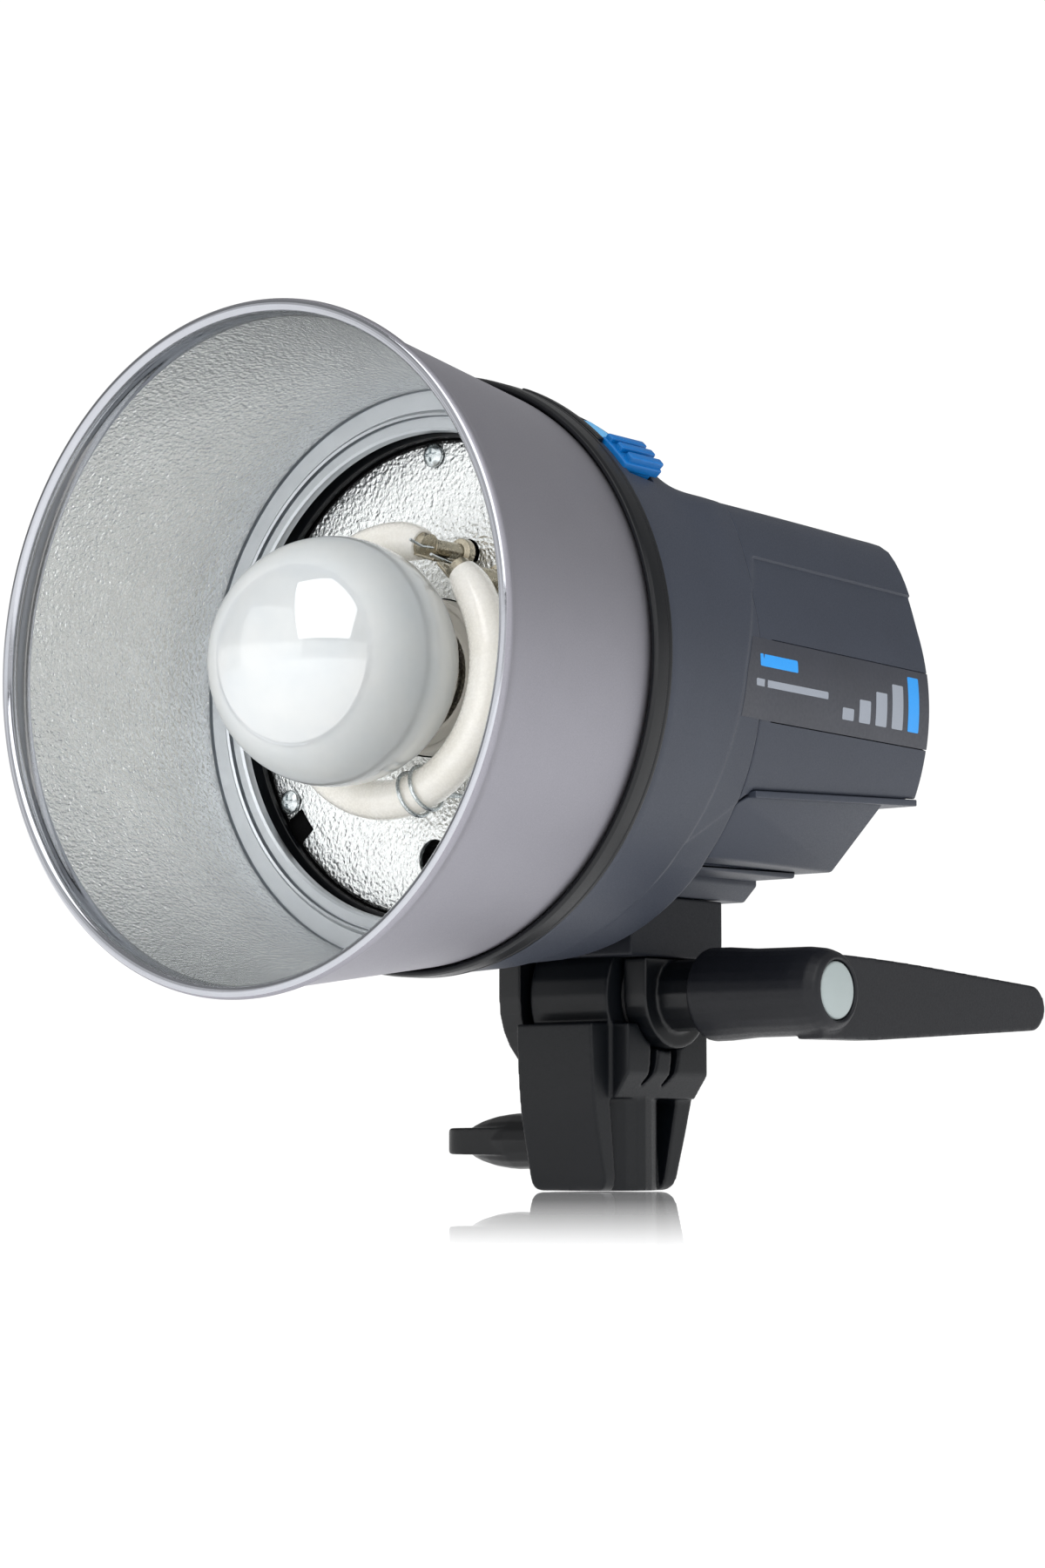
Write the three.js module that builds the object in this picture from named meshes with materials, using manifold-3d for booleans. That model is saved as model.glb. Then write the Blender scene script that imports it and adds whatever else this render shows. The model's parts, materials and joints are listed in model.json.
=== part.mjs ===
// Monolight studio strobe on a tilting stand bracket, in millimetres, +Z up.
// The origin is the centre of the stand socket's mouth, on the bracket's base.
// The head looks along -Y, and +X is the side with the tilt lever.
import * as THREE from "three";
import { mergeVertices } from "three/addons/utils/BufferGeometryUtils.js";
import Module from "manifold-3d";

const wasm = await Module();
wasm.setup();

// ---------- driving dimensions ----------
const GAP = 0.3; // clearance between touching pieces
const FINE = 48; // sides of the large round shells
const MEDIUM = 28; // sides of hand-sized round pieces
const COARSE = 16; // sides of small round pieces

const LAMP_AXIS_Z = 123.7; // height of the optical axis
const TILT_Y = 4;
const TILT_Z = 48.6;
const TILT_DROP = TILT_Z - LAMP_AXIS_Z; // tilt axis as seen from the optical axis

const RIM_Y = -133;
const RIM_R = 80;
const REFLECTOR_REAR_Y = -69.9;
const REFLECTOR_REAR_R = 70.3;
const REFLECTOR_WALL = 1;
const BEAD_R = 1.6;
const COLLAR_R = 61.4; // inner edge of the reflector's flange

const RING_FRONT_Y = -71.6;
const RING_REAR_Y = -65.2;
const RING_R = 72.6;
const BELL_FRONT_Y = -64.9;
const BELL_FRONT_R = 72;
const BELL_REAR_Y = -22;
const BELL_REAR_R = 67.3;
const SHELL_WALL = 2.6;
const BODY_FRONT_Y = -21.7;
const BODY_FRONT_R = 67.2;
const BODY_REAR_Y = 58;
const BODY_REAR_R = 62.5;
const LEDGE_Z = -27; // underside of the upper body, from the optical axis, at y = 0
const LEDGE_SLOPE = 0.05; // the ledge rises toward the rear
const CROWN_Z = 51; // top of the flattened housing, from the optical axis
const CROWN_DROP = 12.5; // how far the crown falls toward its shoulders
const SHOULDER_SWELL = 0.04;
const TRAY_HALF = 49.5; // half the tray's bottom width
const TRAY_TOP_HALF = 61.5; // the same at the ledge
const TRAY_WALL = 2.5;
const TRAY_BOTTOM = -43.4;
const BLOCK_HALF = 25;
const BLOCK_BOTTOM = -50.2;
const BLOCK_REAR_Y = 33;
const LUG_TOP = -50.5;
const LUG_BOTTOM = -65.7;
const LUG_FRONT_Y = -15;
const LUG_REAR_Y = 23;
const EAR_LEFT_R = 20;
const EAR_RIGHT_R = 13.2;
const BOLT_COLLAR_R = 9; // boss on the right ear that the lever turns on
const EAR_INNER = 14;
const EAR_OUTER = 21;

const BARREL_R = 18;
const BARREL_HALF = 12.4;
const PLATE_HALF = 12;
const SHOULDER_TOP_Z = 41.5;
const SOCKET_R = 8.1; // takes a 16 mm stand spigot
const SOCKET_DEPTH = 34;
const SOCKET_WALL_R = 13.7;
const CLAMP_Z = 12.4;
const CLAMP_BOSS_X = -16;
const BOLT_R = 4;

const BASE_PLATE_R = 58.1;
const BASE_PLATE_FRONT_Y = -65;
const BASE_PLATE_REAR_Y = -63.8;
const BASE_SCREW_PITCH_R = 54.5;
const UMBRELLA_Z = -44;
const UMBRELLA_R = 4.8;
const LAMP_SOCKET_R = 19;
const GLOBE_R = 29.4;
const GLOBE_Y = -101;
const GLOBE_STEPS = 10;
const TUBE_RING_R = 31;
const TUBE_R = 4.8;
const TUBE_Y = -81;
const TUBE_GAP_ANGLE = 57; // middle of the flash tube's gap, degrees from +X
const TUBE_GAP_HALF = 13;
const TUBE_CLIP_ANGLE = -72;

const PANEL_FRONT_Y = 54.5;
const PANEL_REAR_Y = 57;
const FAN_HALF = 20;
const FAN_Z = 25;
const FAN_FRONT_Y = -36;
const FAN_REAR_Y = -26;
const BUTTON_XS = [-33, -15, 3, 21];
const BUTTON_Z = 17;
const SCREW_X = 45.5; // rear panel screws
const SCREW_Z = 35;

const LEVER_BASE_X = 32;
const LEVER_END_X = 70;
const LEVER_BUTTON_R = 7.1;
const LEVER_TIP_Y = 91; // arm's end, from the tilt axis

// ---------- colours and finishes ----------
const paint = (color, roughness, metalness) =>
  new THREE.MeshStandardMaterial({ color, roughness, metalness });
const darkPlastic = () => paint(0x484d58, 0.55, 0);
const blackPlastic = () => paint(0x15181e, 0.6, 0);
const greyPlastic = () => paint(0x6a6f78, 0.6, 0);
const buttonPlastic = () => paint(0x96a0a0, 0.5, 0);
const bluePlastic = () => paint(0x0a5abe, 0.4, 0);
const paleBluePlastic = () => paint(0x64b4e6, 0.4, 0);
const satinAluminium = () => paint(0x918f96, 0.38, 0.9);
const steel = () => paint(0xb4b6ba, 0.3, 1);
const brass = () => paint(0xb08d57, 0.35, 1);
const whiteCeramic = () => paint(0xe8e6e0, 0.6, 0);
const frostedGlass = () => paint(0xe6e8e6, 0.5, 0);
const clearGlass = () => paint(0xe6dfcb, 0.1, 0);
const boardGreen = () => paint(0x1f5a3a, 0.6, 0);
const copper = () => paint(0xa4603a, 0.45, 1);

// ---------- solids ----------
function solid(geometry) {
  const bare = geometry.clone();
  bare.deleteAttribute("normal");
  bare.deleteAttribute("uv");
  const merged = mergeVertices(bare, 1e-4);
  const places = merged.getAttribute("position");
  const source = merged.getIndex().array;
  const triangles = [];
  let volume = 0;
  const corner = [new THREE.Vector3(), new THREE.Vector3(), new THREE.Vector3()];
  for (let i = 0; i < source.length; i += 3) {
    const [a, b, c] = [source[i], source[i + 1], source[i + 2]];
    if (a === b || b === c || c === a) continue;
    corner[0].fromBufferAttribute(places, a);
    corner[1].fromBufferAttribute(places, b);
    corner[2].fromBufferAttribute(places, c);
    volume += corner[0].dot(corner[1].cross(corner[2]));
    triangles.push(a, b, c);
  }
  if (volume < 0) {
    for (let i = 0; i < triangles.length; i += 3) {
      [triangles[i], triangles[i + 1]] = [triangles[i + 1], triangles[i]];
    }
  }
  return new wasm.Manifold(new wasm.Mesh({
    numProp: 3,
    vertProperties: Float32Array.from(places.array),
    triVerts: Uint32Array.from(triangles),
  }));
}

function surface(manifold) {
  const mesh = manifold.getMesh();
  const geometry = new THREE.BufferGeometry();
  geometry.setAttribute("position", new THREE.BufferAttribute(mesh.vertProperties, 3));
  geometry.setIndex(new THREE.BufferAttribute(mesh.triVerts, 1));
  return geometry;
}

function cut(body, ...tools) {
  return surface(tools.reduce((left, tool) => left.subtract(solid(tool)), solid(body)));
}

function join(body, ...others) {
  return surface(others.reduce((sum, other) => sum.add(solid(other)), solid(body)));
}

function common(body, ...others) {
  return surface(others.reduce((sum, other) => sum.intersect(solid(other)), solid(body)));
}

// ---------- shapes ----------
function box(x0, x1, y0, y1, z0, z1) {
  const geometry = new THREE.BoxGeometry(x1 - x0, y1 - y0, z1 - z0);
  return geometry.translate((x0 + x1) / 2, (y0 + y1) / 2, (z0 + z1) / 2);
}

// A solid turned about the Y axis from [radius, y] pairs that end on the axis or close on themselves.
function turned(profile, sides = FINE) {
  const points = profile.map(([r, y]) => new THREE.Vector2(r, y));
  const first = profile[0];
  const last = profile[profile.length - 1];
  if (first[0] > 0 || last[0] > 0) points.push(points[0].clone());
  return new THREE.LatheGeometry(points, sides);
}

// The same, turned about the X axis from [radius, x] pairs.
function turnedX(profile, sides = MEDIUM) {
  return turned(profile, sides).rotateZ(-Math.PI / 2);
}

function rodY(r, y0, y1, x = 0, z = 0, sides = COARSE) {
  return turned([[0, y0], [r, y0], [r, y1], [0, y1]], sides).translate(x, 0, z);
}

function rodX(r, x0, x1, y = 0, z = 0, sides = COARSE) {
  return turnedX([[0, x0], [r, x0], [r, x1], [0, x1]], sides).translate(0, y, z);
}

function rodZ(r, z0, z1, x = 0, y = 0, sides = MEDIUM) {
  return turned([[0, z0], [r, z0], [r, z1], [0, z1]], sides).rotateX(Math.PI / 2).translate(x, y, 0);
}

function pipeY(inner, outer, y0, y1, x = 0, z = 0, sides = MEDIUM) {
  const profile = [[inner, y0], [outer, y0], [outer, y1], [inner, y1]];
  return turned(profile, sides).translate(x, 0, z);
}

// An outline of [y, z] corners, or a THREE.Shape in those axes, swept from x0 to x1.
function sweepX(outline, x0, x1) {
  const geometry = extruded(outline, x1 - x0);
  const [x, y, z] = [0, 1, 2].map((i) => new THREE.Vector3().setComponent(i, 1));
  geometry.applyMatrix4(new THREE.Matrix4().makeBasis(y, z, x));
  return geometry.translate(x0, 0, 0);
}

// An outline of [x, z] corners swept from y0 to y1.
function sweepY(outline, y0, y1) {
  return extruded(outline, y1 - y0).rotateX(Math.PI / 2).translate(0, y1, 0);
}

function extruded(outline, depth) {
  const points = Array.isArray(outline) ? outline.map(([u, v]) => new THREE.Vector2(u, v)) : null;
  const shape = points ? new THREE.Shape(points) : outline;
  return new THREE.ExtrudeGeometry(shape, { depth, bevelEnabled: false, curveSegments: 10 });
}

// A sector of a ring about the Y axis; angles are in degrees from +X toward +Z.
function sector(r0, r1, from, to, y0, y1) {
  const steps = Math.max(2, Math.round((to - from) / 4));
  const outline = [];
  for (let i = 0; i <= steps; i++) outline.push(polar(r1, from + ((to - from) * i) / steps));
  for (let i = steps; i >= 0; i--) outline.push(polar(r0, from + ((to - from) * i) / steps));
  return sweepY(outline, y0, y1);
}

function polar(r, degrees) {
  const a = THREE.MathUtils.degToRad(degrees);
  return [r * Math.cos(a), r * Math.sin(a)];
}

// ---------- scene graph ----------
const strobe = new THREE.Group();
const bracket = new THREE.Group();
const clampGroup = new THREE.Group();
clampGroup.position.set(0, 0, CLAMP_Z);
const head = new THREE.Group();
head.position.set(0, 0, LAMP_AXIS_Z);
const lever = new THREE.Group();
lever.position.set(0, TILT_Y, TILT_Z);
bracket.add(clampGroup);
strobe.add(bracket, head, lever);

function place(group, name, geometry, material, x = 0, y = 0, z = 0) {
  const mesh = new THREE.Mesh(geometry, material);
  mesh.name = name;
  mesh.position.set(x, y, z);
  group.add(mesh);
}

// ---------- bracket ----------
const earRadius = (side) => (side < 0 ? EAR_LEFT_R : EAR_RIGHT_R);

function bracketCasting() {
  const front = new THREE.Shape();
  front.moveTo(-9.5, 0);
  front.lineTo(-13, 0);
  front.quadraticCurveTo(-14, 0, -14.2, 3);
  front.lineTo(-17.6, 17);
  front.quadraticCurveTo(-19.3, 26, -19.7, SHOULDER_TOP_Z);
  front.lineTo(-8, SHOULDER_TOP_Z);
  front.lineTo(-12, 22);
  const rear = new THREE.Shape();
  rear.moveTo(9.5, 0);
  rear.lineTo(12.6, 0);
  rear.quadraticCurveTo(14, 0, 15.2, 3);
  rear.lineTo(19.2, 14.6);
  rear.lineTo(21.8, 23);
  rear.lineTo(22.4, SHOULDER_TOP_Z);
  rear.lineTo(8, SHOULDER_TOP_Z);
  rear.lineTo(15, 22);
  const width = new THREE.Shape();
  width.moveTo(-9, 0);
  width.lineTo(9, 0);
  width.quadraticCurveTo(PLATE_HALF, 0, PLATE_HALF, 4);
  width.lineTo(PLATE_HALF, SHOULDER_TOP_Z + 1);
  width.lineTo(-PLATE_HALF, SHOULDER_TOP_Z + 1);
  width.lineTo(-PLATE_HALF, 4);
  width.quadraticCurveTo(-PLATE_HALF, 0, -9, 0);
  const envelope = extruded(width, 60).rotateX(Math.PI / 2).translate(0, 30, 0);
  const cheeks = join(sweepX(front, -15, 15), sweepX(rear, -15, 15));
  const post = rodZ(SOCKET_WALL_R, 0, SHOULDER_TOP_Z);
  const barrel = rodX(BARREL_R, -BARREL_HALF, BARREL_HALF, TILT_Y, TILT_Z, MEDIUM);
  const shoulders = [-1, 1].map((side) => sweepY([
    [0, 23], [13.4 * side, 23], [17.6 * side, 29], [17.6 * side, SHOULDER_TOP_Z], [0, SHOULDER_TOP_Z],
  ], -12, 21));
  const boss = rodX(7.4, CLAMP_BOSS_X, -9, 0, CLAMP_Z);
  const grooves = [];
  for (const side of [-1, 1]) {
    for (const y of [-2, 6.5]) grooves.push(shoulderGroove(side, y));
  }
  const cradles = [-1, 1].map((side) => {
    const [x0, x1] = side < 0 ? [-22, -BARREL_HALF] : [BARREL_HALF, 22];
    return rodX(earRadius(side) + 0.6, x0, x1, TILT_Y, TILT_Z, MEDIUM);
  });
  return cut(
    join(common(cheeks, envelope), post, barrel, ...shoulders, boss), ...grooves, ...cradles,
    rodZ(SOCKET_R, -1, SOCKET_DEPTH),
    rodX(BOLT_R + GAP, -20, 20, TILT_Y, TILT_Z),
    rodX(BOLT_R + GAP, -20, -3, 0, CLAMP_Z),
  );
}

// The shoulders are ribbed: each groove is hooked, and runs from the top down into the chamfer.
function shoulderGroove(side, y) {
  const groove = new THREE.Shape();
  groove.moveTo(y - 1.9, SHOULDER_TOP_Z + 1);
  groove.quadraticCurveTo(y + 1.4, 33, y - 3, 25);
  groove.quadraticCurveTo(y + 4.6, 31, y + 1.1, SHOULDER_TOP_Z + 1);
  return side < 0 ? sweepX(groove, -19, -13.2) : sweepX(groove, 13.2, 19);
}
place(bracket, "bracket_casting", bracketCasting(), blackPlastic());

for (const [side, name] of [[-1, "left"], [1, "right"]]) {
  const disc = turnedX([[BOLT_R + GAP, -0.45], [12.6, -0.45], [12.6, 0.45], [BOLT_R + GAP, 0.45]]);
  const x = side * (BARREL_HALF + EAR_INNER) / 2;
  place(bracket, `friction_disc_${name}`, surface(solid(disc)), greyPlastic(), x, TILT_Y, TILT_Z);
}

// ---------- stand clamp ----------
place(clampGroup, "clamp_shoe", surface(solid(rodX(3.8, -12.2, -9.2))), brass());

const clampScrew = join(rodX(3.8, -32, -12.6), rodX(5, -31, -27));
place(clampGroup, "clamp_screw", clampScrew, steel());

function clampPaddle() {
  const plan = new THREE.Shape();
  plan.moveTo(-24, -6);
  plan.lineTo(-41, -7.6);
  plan.quadraticCurveTo(-48, -7.6, -48, -1);
  plan.lineTo(-48, 1);
  plan.quadraticCurveTo(-48, 7.6, -41, 7.6);
  plan.lineTo(-24, 6);
  const side = new THREE.Shape();
  side.moveTo(-24, -3.6);
  side.lineTo(-44.6, -3.4);
  side.absarc(-44.6, 0, 3.4, -Math.PI / 2, Math.PI / 2, true);
  side.lineTo(-24, 3.6);
  const wing = common(extruded(plan, 10).translate(0, 0, -5), sweepY(side, -10, 10));
  const hub = turnedX([
    [0, -18.2], [7, -18.2], [7.2, -27], [7, -30], [6.5, -34], [5.5, -38], [4.4, -41], [3, -43.4], [0, -44],
  ], COARSE);
  const bore = join(rodX(3.8 + GAP, -32 - GAP, -10), rodX(5 + GAP, -31 - GAP, -27 + GAP));
  return cut(join(wing, hub), bore);
}
place(clampGroup, "clamp_paddle", clampPaddle(), blackPlastic());

// ---------- housing ----------
const bellRadius = (y) =>
  THREE.MathUtils.mapLinear(y, BELL_FRONT_Y, BELL_REAR_Y, BELL_FRONT_R, BELL_REAR_R);
const bodyRadius = (y) =>
  THREE.MathUtils.mapLinear(y, BODY_FRONT_Y, BODY_REAR_Y, BODY_FRONT_R, BODY_REAR_R);
const FLATTEN_YS = [-48, -42, -35, -28]; // where the housing turns from round to flattened
const ledgeZ = (y) => LEDGE_Z + LEDGE_SLOPE * y;

// A cone about the optical axis, flattened on top behind the lock and swollen a little at its shoulders.
function hull(radius, y0, y1, offset) {
  const profile = [[0, y0]];
  const stations = [y0, ...FLATTEN_YS.filter((y) => y > y0 && y < y1), y1];
  for (const y of stations) profile.push([radius(y) + offset, y]);
  profile.push([0, y1]);
  const geometry = turned(profile);
  const points = geometry.getAttribute("position");
  for (let i = 0; i < points.count; i++) {
    const [x, y, z] = [points.getX(i), points.getY(i), points.getZ(i)];
    const r = Math.hypot(x, z);
    if (r < 1) continue;
    const k = flattening(Math.atan2(z, Math.abs(x)), y, r - offset, offset);
    points.setXYZ(i, x * k, y, z * k);
  }
  return geometry;
}

function flattening(angle, y, r, offset) {
  const blend = THREE.MathUtils.smoothstep(y, FLATTEN_YS[0], FLATTEN_YS[3]);
  const swell = 1 + SHOULDER_SWELL * THREE.MathUtils.smoothstep(angle, 0.3, 0.7);
  const height = CROWN_Z - CROWN_DROP * Math.cos(angle) ** 2;
  const crown = angle > 0.3 ? height / Math.sin(angle) : Infinity;
  const target = Math.min(r * swell, crown) + offset;
  return 1 + blend * (target / (r + offset) - 1);
}
const LOCK_Y = [-62.4, -47.6];
const LOCK_ANGLES = [38, 71];

function frontBell() {
  const hollow = hull(bellRadius, BELL_FRONT_Y - 1, BELL_REAR_Y - SHELL_WALL, -SHELL_WALL);
  const through = hull(bellRadius, BELL_REAR_Y - 5, BELL_REAR_Y + 1, -SHELL_WALL);
  const above = box(-80, 80, -80, 0, LEDGE_Z - 2, 80);
  return cut(
    hull(bellRadius, BELL_FRONT_Y, BELL_REAR_Y, 0),
    hollow,
    common(through, above),
    rodY(UMBRELLA_R + GAP, -30, -20, 0, UMBRELLA_Z),
    sector(60, 80, ...LOCK_ANGLES, LOCK_Y[0] + 2, LOCK_Y[1] - 2),
  );
}
place(head, "front_bell", frontBell(), darkPlastic());

// Everything higher than the sloping ledge, less a clearance.
function aboveLedge(clearance) {
  const [y0, y1] = [-90, 90];
  const low = [[y0, ledgeZ(y0) + clearance], [y1, ledgeZ(y1) + clearance]];
  return sweepX([...low, [y1, 90], [y0, 90]], -90, 90);
}

const PANEL_STEP = 0.6; // depth of the side panel's recess
const LABEL_POCKET = 1.6;
const LABEL_Z = [-11.2, 8.3];

function upperBody() {
  const shell = cut(
    hull(bodyRadius, BODY_FRONT_Y, BODY_REAR_Y, 0),
    hull(bodyRadius, BODY_FRONT_Y - 1, BODY_REAR_Y + 1, -SHELL_WALL),
  );
  const stripped = (depth, y0, z0, z1) => common(
    cut(hull(bodyRadius, y0, BODY_REAR_Y + 1, 4), hull(bodyRadius, y0 - 1, BODY_REAR_Y + 2, -depth)),
    box(-80, 80, y0, 70, z0, z1),
  );
  const bosses = [-1, 1].map((side) => rodY(6, 47.5, PANEL_FRONT_Y - GAP, SCREW_X * side, SCREW_Z));
  return cut(
    common(join(shell, ...bosses), aboveLedge(0)),
    stripped(PANEL_STEP, -18, LEDGE_Z - 5, 29.3),
    stripped(LABEL_POCKET, -17, LABEL_Z[0] - GAP, LABEL_Z[1] + GAP),
    ...[-1, 1].map((side) => rodY(1.7, 47, 60, SCREW_X * side, SCREW_Z)),
  );
}
place(head, "upper_body", upperBody(), darkPlastic());

for (const [side, name] of [[-1, "left"], [1, "right"]]) {
  const skin = cut(
    hull(bodyRadius, -16.7, BODY_REAR_Y - GAP, -PANEL_STEP + 0.1),
    hull(bodyRadius, -20, BODY_REAR_Y + 1, -LABEL_POCKET + GAP),
  );
  const [x0, x1] = side < 0 ? [-80, 0] : [0, 80];
  place(head, `side_label_${name}`, common(skin, box(x0, x1, -30, 70, ...LABEL_Z)), blackPlastic());
}

// The tray's cross-section: sides that lean in from the ledge to the bottom.
function traySides(inset) {
  const [low, high] = [TRAY_HALF - inset, TRAY_TOP_HALF - inset];
  return sweepY([[-low, TRAY_BOTTOM], [low, TRAY_BOTTOM], [high, -24], [-high, -24]], BODY_FRONT_Y, 60);
}

function lowerTray() {
  const hollowFrontY = BODY_FRONT_Y + TRAY_WALL;
  const floorZ = TRAY_BOTTOM + TRAY_WALL;
  const rearTop = 44;
  const rearBottom = 36.5;
  const rearTopZ = ledgeZ(rearTop);
  const flange = cut(
    common(hull(bodyRadius, BODY_FRONT_Y, BODY_REAR_Y, 0), aboveLedge(-2)),
    aboveLedge(-GAP),
  );
  const outside = [[BODY_FRONT_Y, TRAY_BOTTOM], [rearBottom, TRAY_BOTTOM],
    [rearTop, rearTopZ - 1], [BODY_FRONT_Y, ledgeZ(BODY_FRONT_Y) - 1]];
  const inside = [[hollowFrontY, floorZ], [rearBottom - 1.5, floorZ],
    [rearTop - TRAY_WALL, rearTopZ + 4], [hollowFrontY, rearTopZ + 4]];
  const tray = common(
    sweepX(outside, -TRAY_TOP_HALF, TRAY_TOP_HALF), traySides(0),
    hull(bodyRadius, BODY_FRONT_Y - 1, BODY_REAR_Y, 0));
  const hollow = common(
    sweepX(inside, -TRAY_TOP_HALF, TRAY_TOP_HALF), traySides(TRAY_WALL),
    hull(bodyRadius, BODY_FRONT_Y - 1, BODY_REAR_Y, -TRAY_WALL - 1));
  const blockFront = [[-21, BLOCK_BOTTOM], [21, BLOCK_BOTTOM], [BLOCK_HALF, BLOCK_BOTTOM + 4],
    [BLOCK_HALF, TRAY_BOTTOM + 1], [-BLOCK_HALF, TRAY_BOTTOM + 1], [-BLOCK_HALF, BLOCK_BOTTOM + 4]];
  const blockSide = [[BODY_FRONT_Y, BLOCK_BOTTOM], [BLOCK_REAR_Y - 5, BLOCK_BOTTOM],
    [BLOCK_REAR_Y, BLOCK_BOTTOM + 3], [BLOCK_REAR_Y, TRAY_BOTTOM + 1], [BODY_FRONT_Y, TRAY_BOTTOM + 1]];
  const block = common(sweepY(blockFront, BODY_FRONT_Y, BLOCK_REAR_Y), sweepX(blockSide, -30, 30));
  return cut(
    join(flange, tray, block), hollow, rodY(UMBRELLA_R + GAP, -40, 60, 0, UMBRELLA_Z));
}
place(head, "lower_tray", lowerTray(), darkPlastic());

// ---------- tilt joint, head side ----------
function tiltLug() {
  const outline = new THREE.Shape();
  outline.moveTo(LUG_FRONT_Y, LUG_BOTTOM);
  outline.lineTo(LUG_REAR_Y - 5, LUG_BOTTOM);
  outline.quadraticCurveTo(LUG_REAR_Y, LUG_BOTTOM, LUG_REAR_Y, LUG_BOTTOM + 5);
  outline.lineTo(LUG_REAR_Y, LUG_TOP);
  outline.lineTo(LUG_FRONT_Y, LUG_TOP);
  const barrelRoom = rodX(BARREL_R + 0.8, -EAR_INNER + GAP, EAR_INNER - GAP, TILT_Y, TILT_DROP, MEDIUM);
  return cut(sweepX(outline, -EAR_OUTER, EAR_OUTER), barrelRoom);
}
place(head, "tilt_lug", tiltLug(), greyPlastic());

for (const [side, name] of [[-1, "left"], [1, "right"]]) {
  const radius = earRadius(side);
  const ends = (outer) => [side * EAR_INNER, side * outer].sort((a, b) => a - b);
  const [x0, x1] = ends(EAR_OUTER);
  const top = LUG_BOTTOM - GAP;
  const disc = common(
    rodX(radius, x0, x1, TILT_Y, TILT_DROP, MEDIUM), box(-40, 40, -60, 60, -120, top));
  const shoulder = box(x0, x1, TILT_Y - radius, TILT_Y + radius, TILT_DROP, top);
  const collar = rodX(BOLT_COLLAR_R, ...ends(LEVER_BASE_X - 0.4), TILT_Y, TILT_DROP);
  const pieces = side > 0 ? [shoulder, collar] : [shoulder];
  const ear = cut(join(disc, ...pieces), rodX(BOLT_R + GAP, -40, 40, TILT_Y, TILT_DROP));
  place(head, `tilt_ear_${name}`, ear, blackPlastic());
}

const boltHead = turnedX([[0, -27], [7.5, -27], [7.5, -EAR_OUTER - GAP], [0, -EAR_OUTER - GAP]], 6);
const tiltBolt = join(rodX(BOLT_R, -22, 46), boltHead);
place(head, "tilt_bolt", tiltBolt, steel(), 0, TILT_Y, TILT_DROP);

// ---------- tilt lever ----------
function tiltLever() {
  const hub = turnedX([
    [0, LEVER_BASE_X], [11.4, LEVER_BASE_X], [11.7, 33], [11.6, 38], [11, 46], [10.9, 62],
    [10.4, 66.4], [9.4, 69], [8.2, LEVER_END_X], [0, LEVER_END_X],
  ]);
  const tipR = 5.9;
  const tipZ = -1.8;
  const arm = new THREE.Shape();
  arm.moveTo(-2, -11.7);
  arm.lineTo(20, -11.6);
  arm.lineTo(LEVER_TIP_Y - tipR, tipZ - tipR);
  arm.absarc(LEVER_TIP_Y - tipR, tipZ, tipR, -Math.PI / 2, Math.PI / 2, false);
  arm.lineTo(40, 7.4);
  arm.quadraticCurveTo(22, 8.6, 8, 9);
  arm.lineTo(-2, 9);
  const blade = sweepX(arm, 0, 7.5).rotateZ(THREE.MathUtils.degToRad(-4)).translate(59, 0, 0);
  const boltHole = rodX(BOLT_R + GAP, 30, 47);
  const buttonHole = rodX(LEVER_BUTTON_R + GAP, 54, 72, 0, 0, MEDIUM);
  return cut(join(hub, blade), boltHole, buttonHole);
}
place(lever, "tilt_lever", tiltLever(), blackPlastic());

const pushButton = turnedX([
  [0, 58], [LEVER_BUTTON_R, 58], [LEVER_BUTTON_R, 69.8], [LEVER_BUTTON_R - 0.6, 70.4], [0, 70.4],
]);
place(lever, "lever_button", surface(solid(pushButton)), buttonPlastic());

// ---------- front ring and reflector ----------
function frontRing() {
  const ring = turned([
    [70.7, RING_FRONT_Y + 0.8], [71.4, RING_FRONT_Y], [72.3, RING_FRONT_Y],
    [RING_R, RING_FRONT_Y + 0.8], [RING_R, RING_REAR_Y], [58.4, RING_REAR_Y], [58.4, -66.8],
    [66.2, -66.8], [66.2, REFLECTOR_REAR_Y + GAP + 0.1], [70.7, REFLECTOR_REAR_Y + GAP + 0.1],
  ]);
  const lugs = [30, 150, 270].map((a) => sector(64.7, 68, a - 13, a + 13, -69.5, -68.6));
  return join(ring, ...lugs);
}
place(head, "front_ring", frontRing(), blackPlastic());

function reflectorShell() {
  const slope = (RIM_R - 1 - REFLECTOR_REAR_R) / (RIM_Y - REFLECTOR_REAR_Y);
  const wallR = (y) => REFLECTOR_REAR_R + slope * (y - REFLECTOR_REAR_Y);
  const bead = [];
  const beadY = RIM_Y + BEAD_R;
  for (let i = 0; i <= 5; i++) {
    const a = (Math.PI * i) / 5;
    bead.push([RIM_R - BEAD_R + BEAD_R * Math.cos(a), beadY - BEAD_R * Math.sin(a)]);
  }
  const outer = [[wallR(REFLECTOR_REAR_Y), REFLECTOR_REAR_Y], [wallR(-127), -127], [RIM_R, beadY]];
  const inner = [[wallR(-127) - REFLECTOR_WALL, -127], [wallR(-71.2) - REFLECTOR_WALL, -71.2],
    [COLLAR_R, -71.2], [COLLAR_R, REFLECTOR_REAR_Y]];
  return surface(solid(turned([...outer, ...bead.slice(1), ...inner])));
}
place(head, "reflector", reflectorShell(), satinAluminium());

const collarRing = pipeY(COLLAR_R + 0.1, 64.2, -69.6, -67.2, 0, 0, FINE);
const collarTabs = [30, 150, 270].map((a) => sector(63.5, 65.8, a - 11, a + 11, -68.3, -67.2));
place(head, "reflector_collar", join(collarRing, ...collarTabs), steel());

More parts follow.
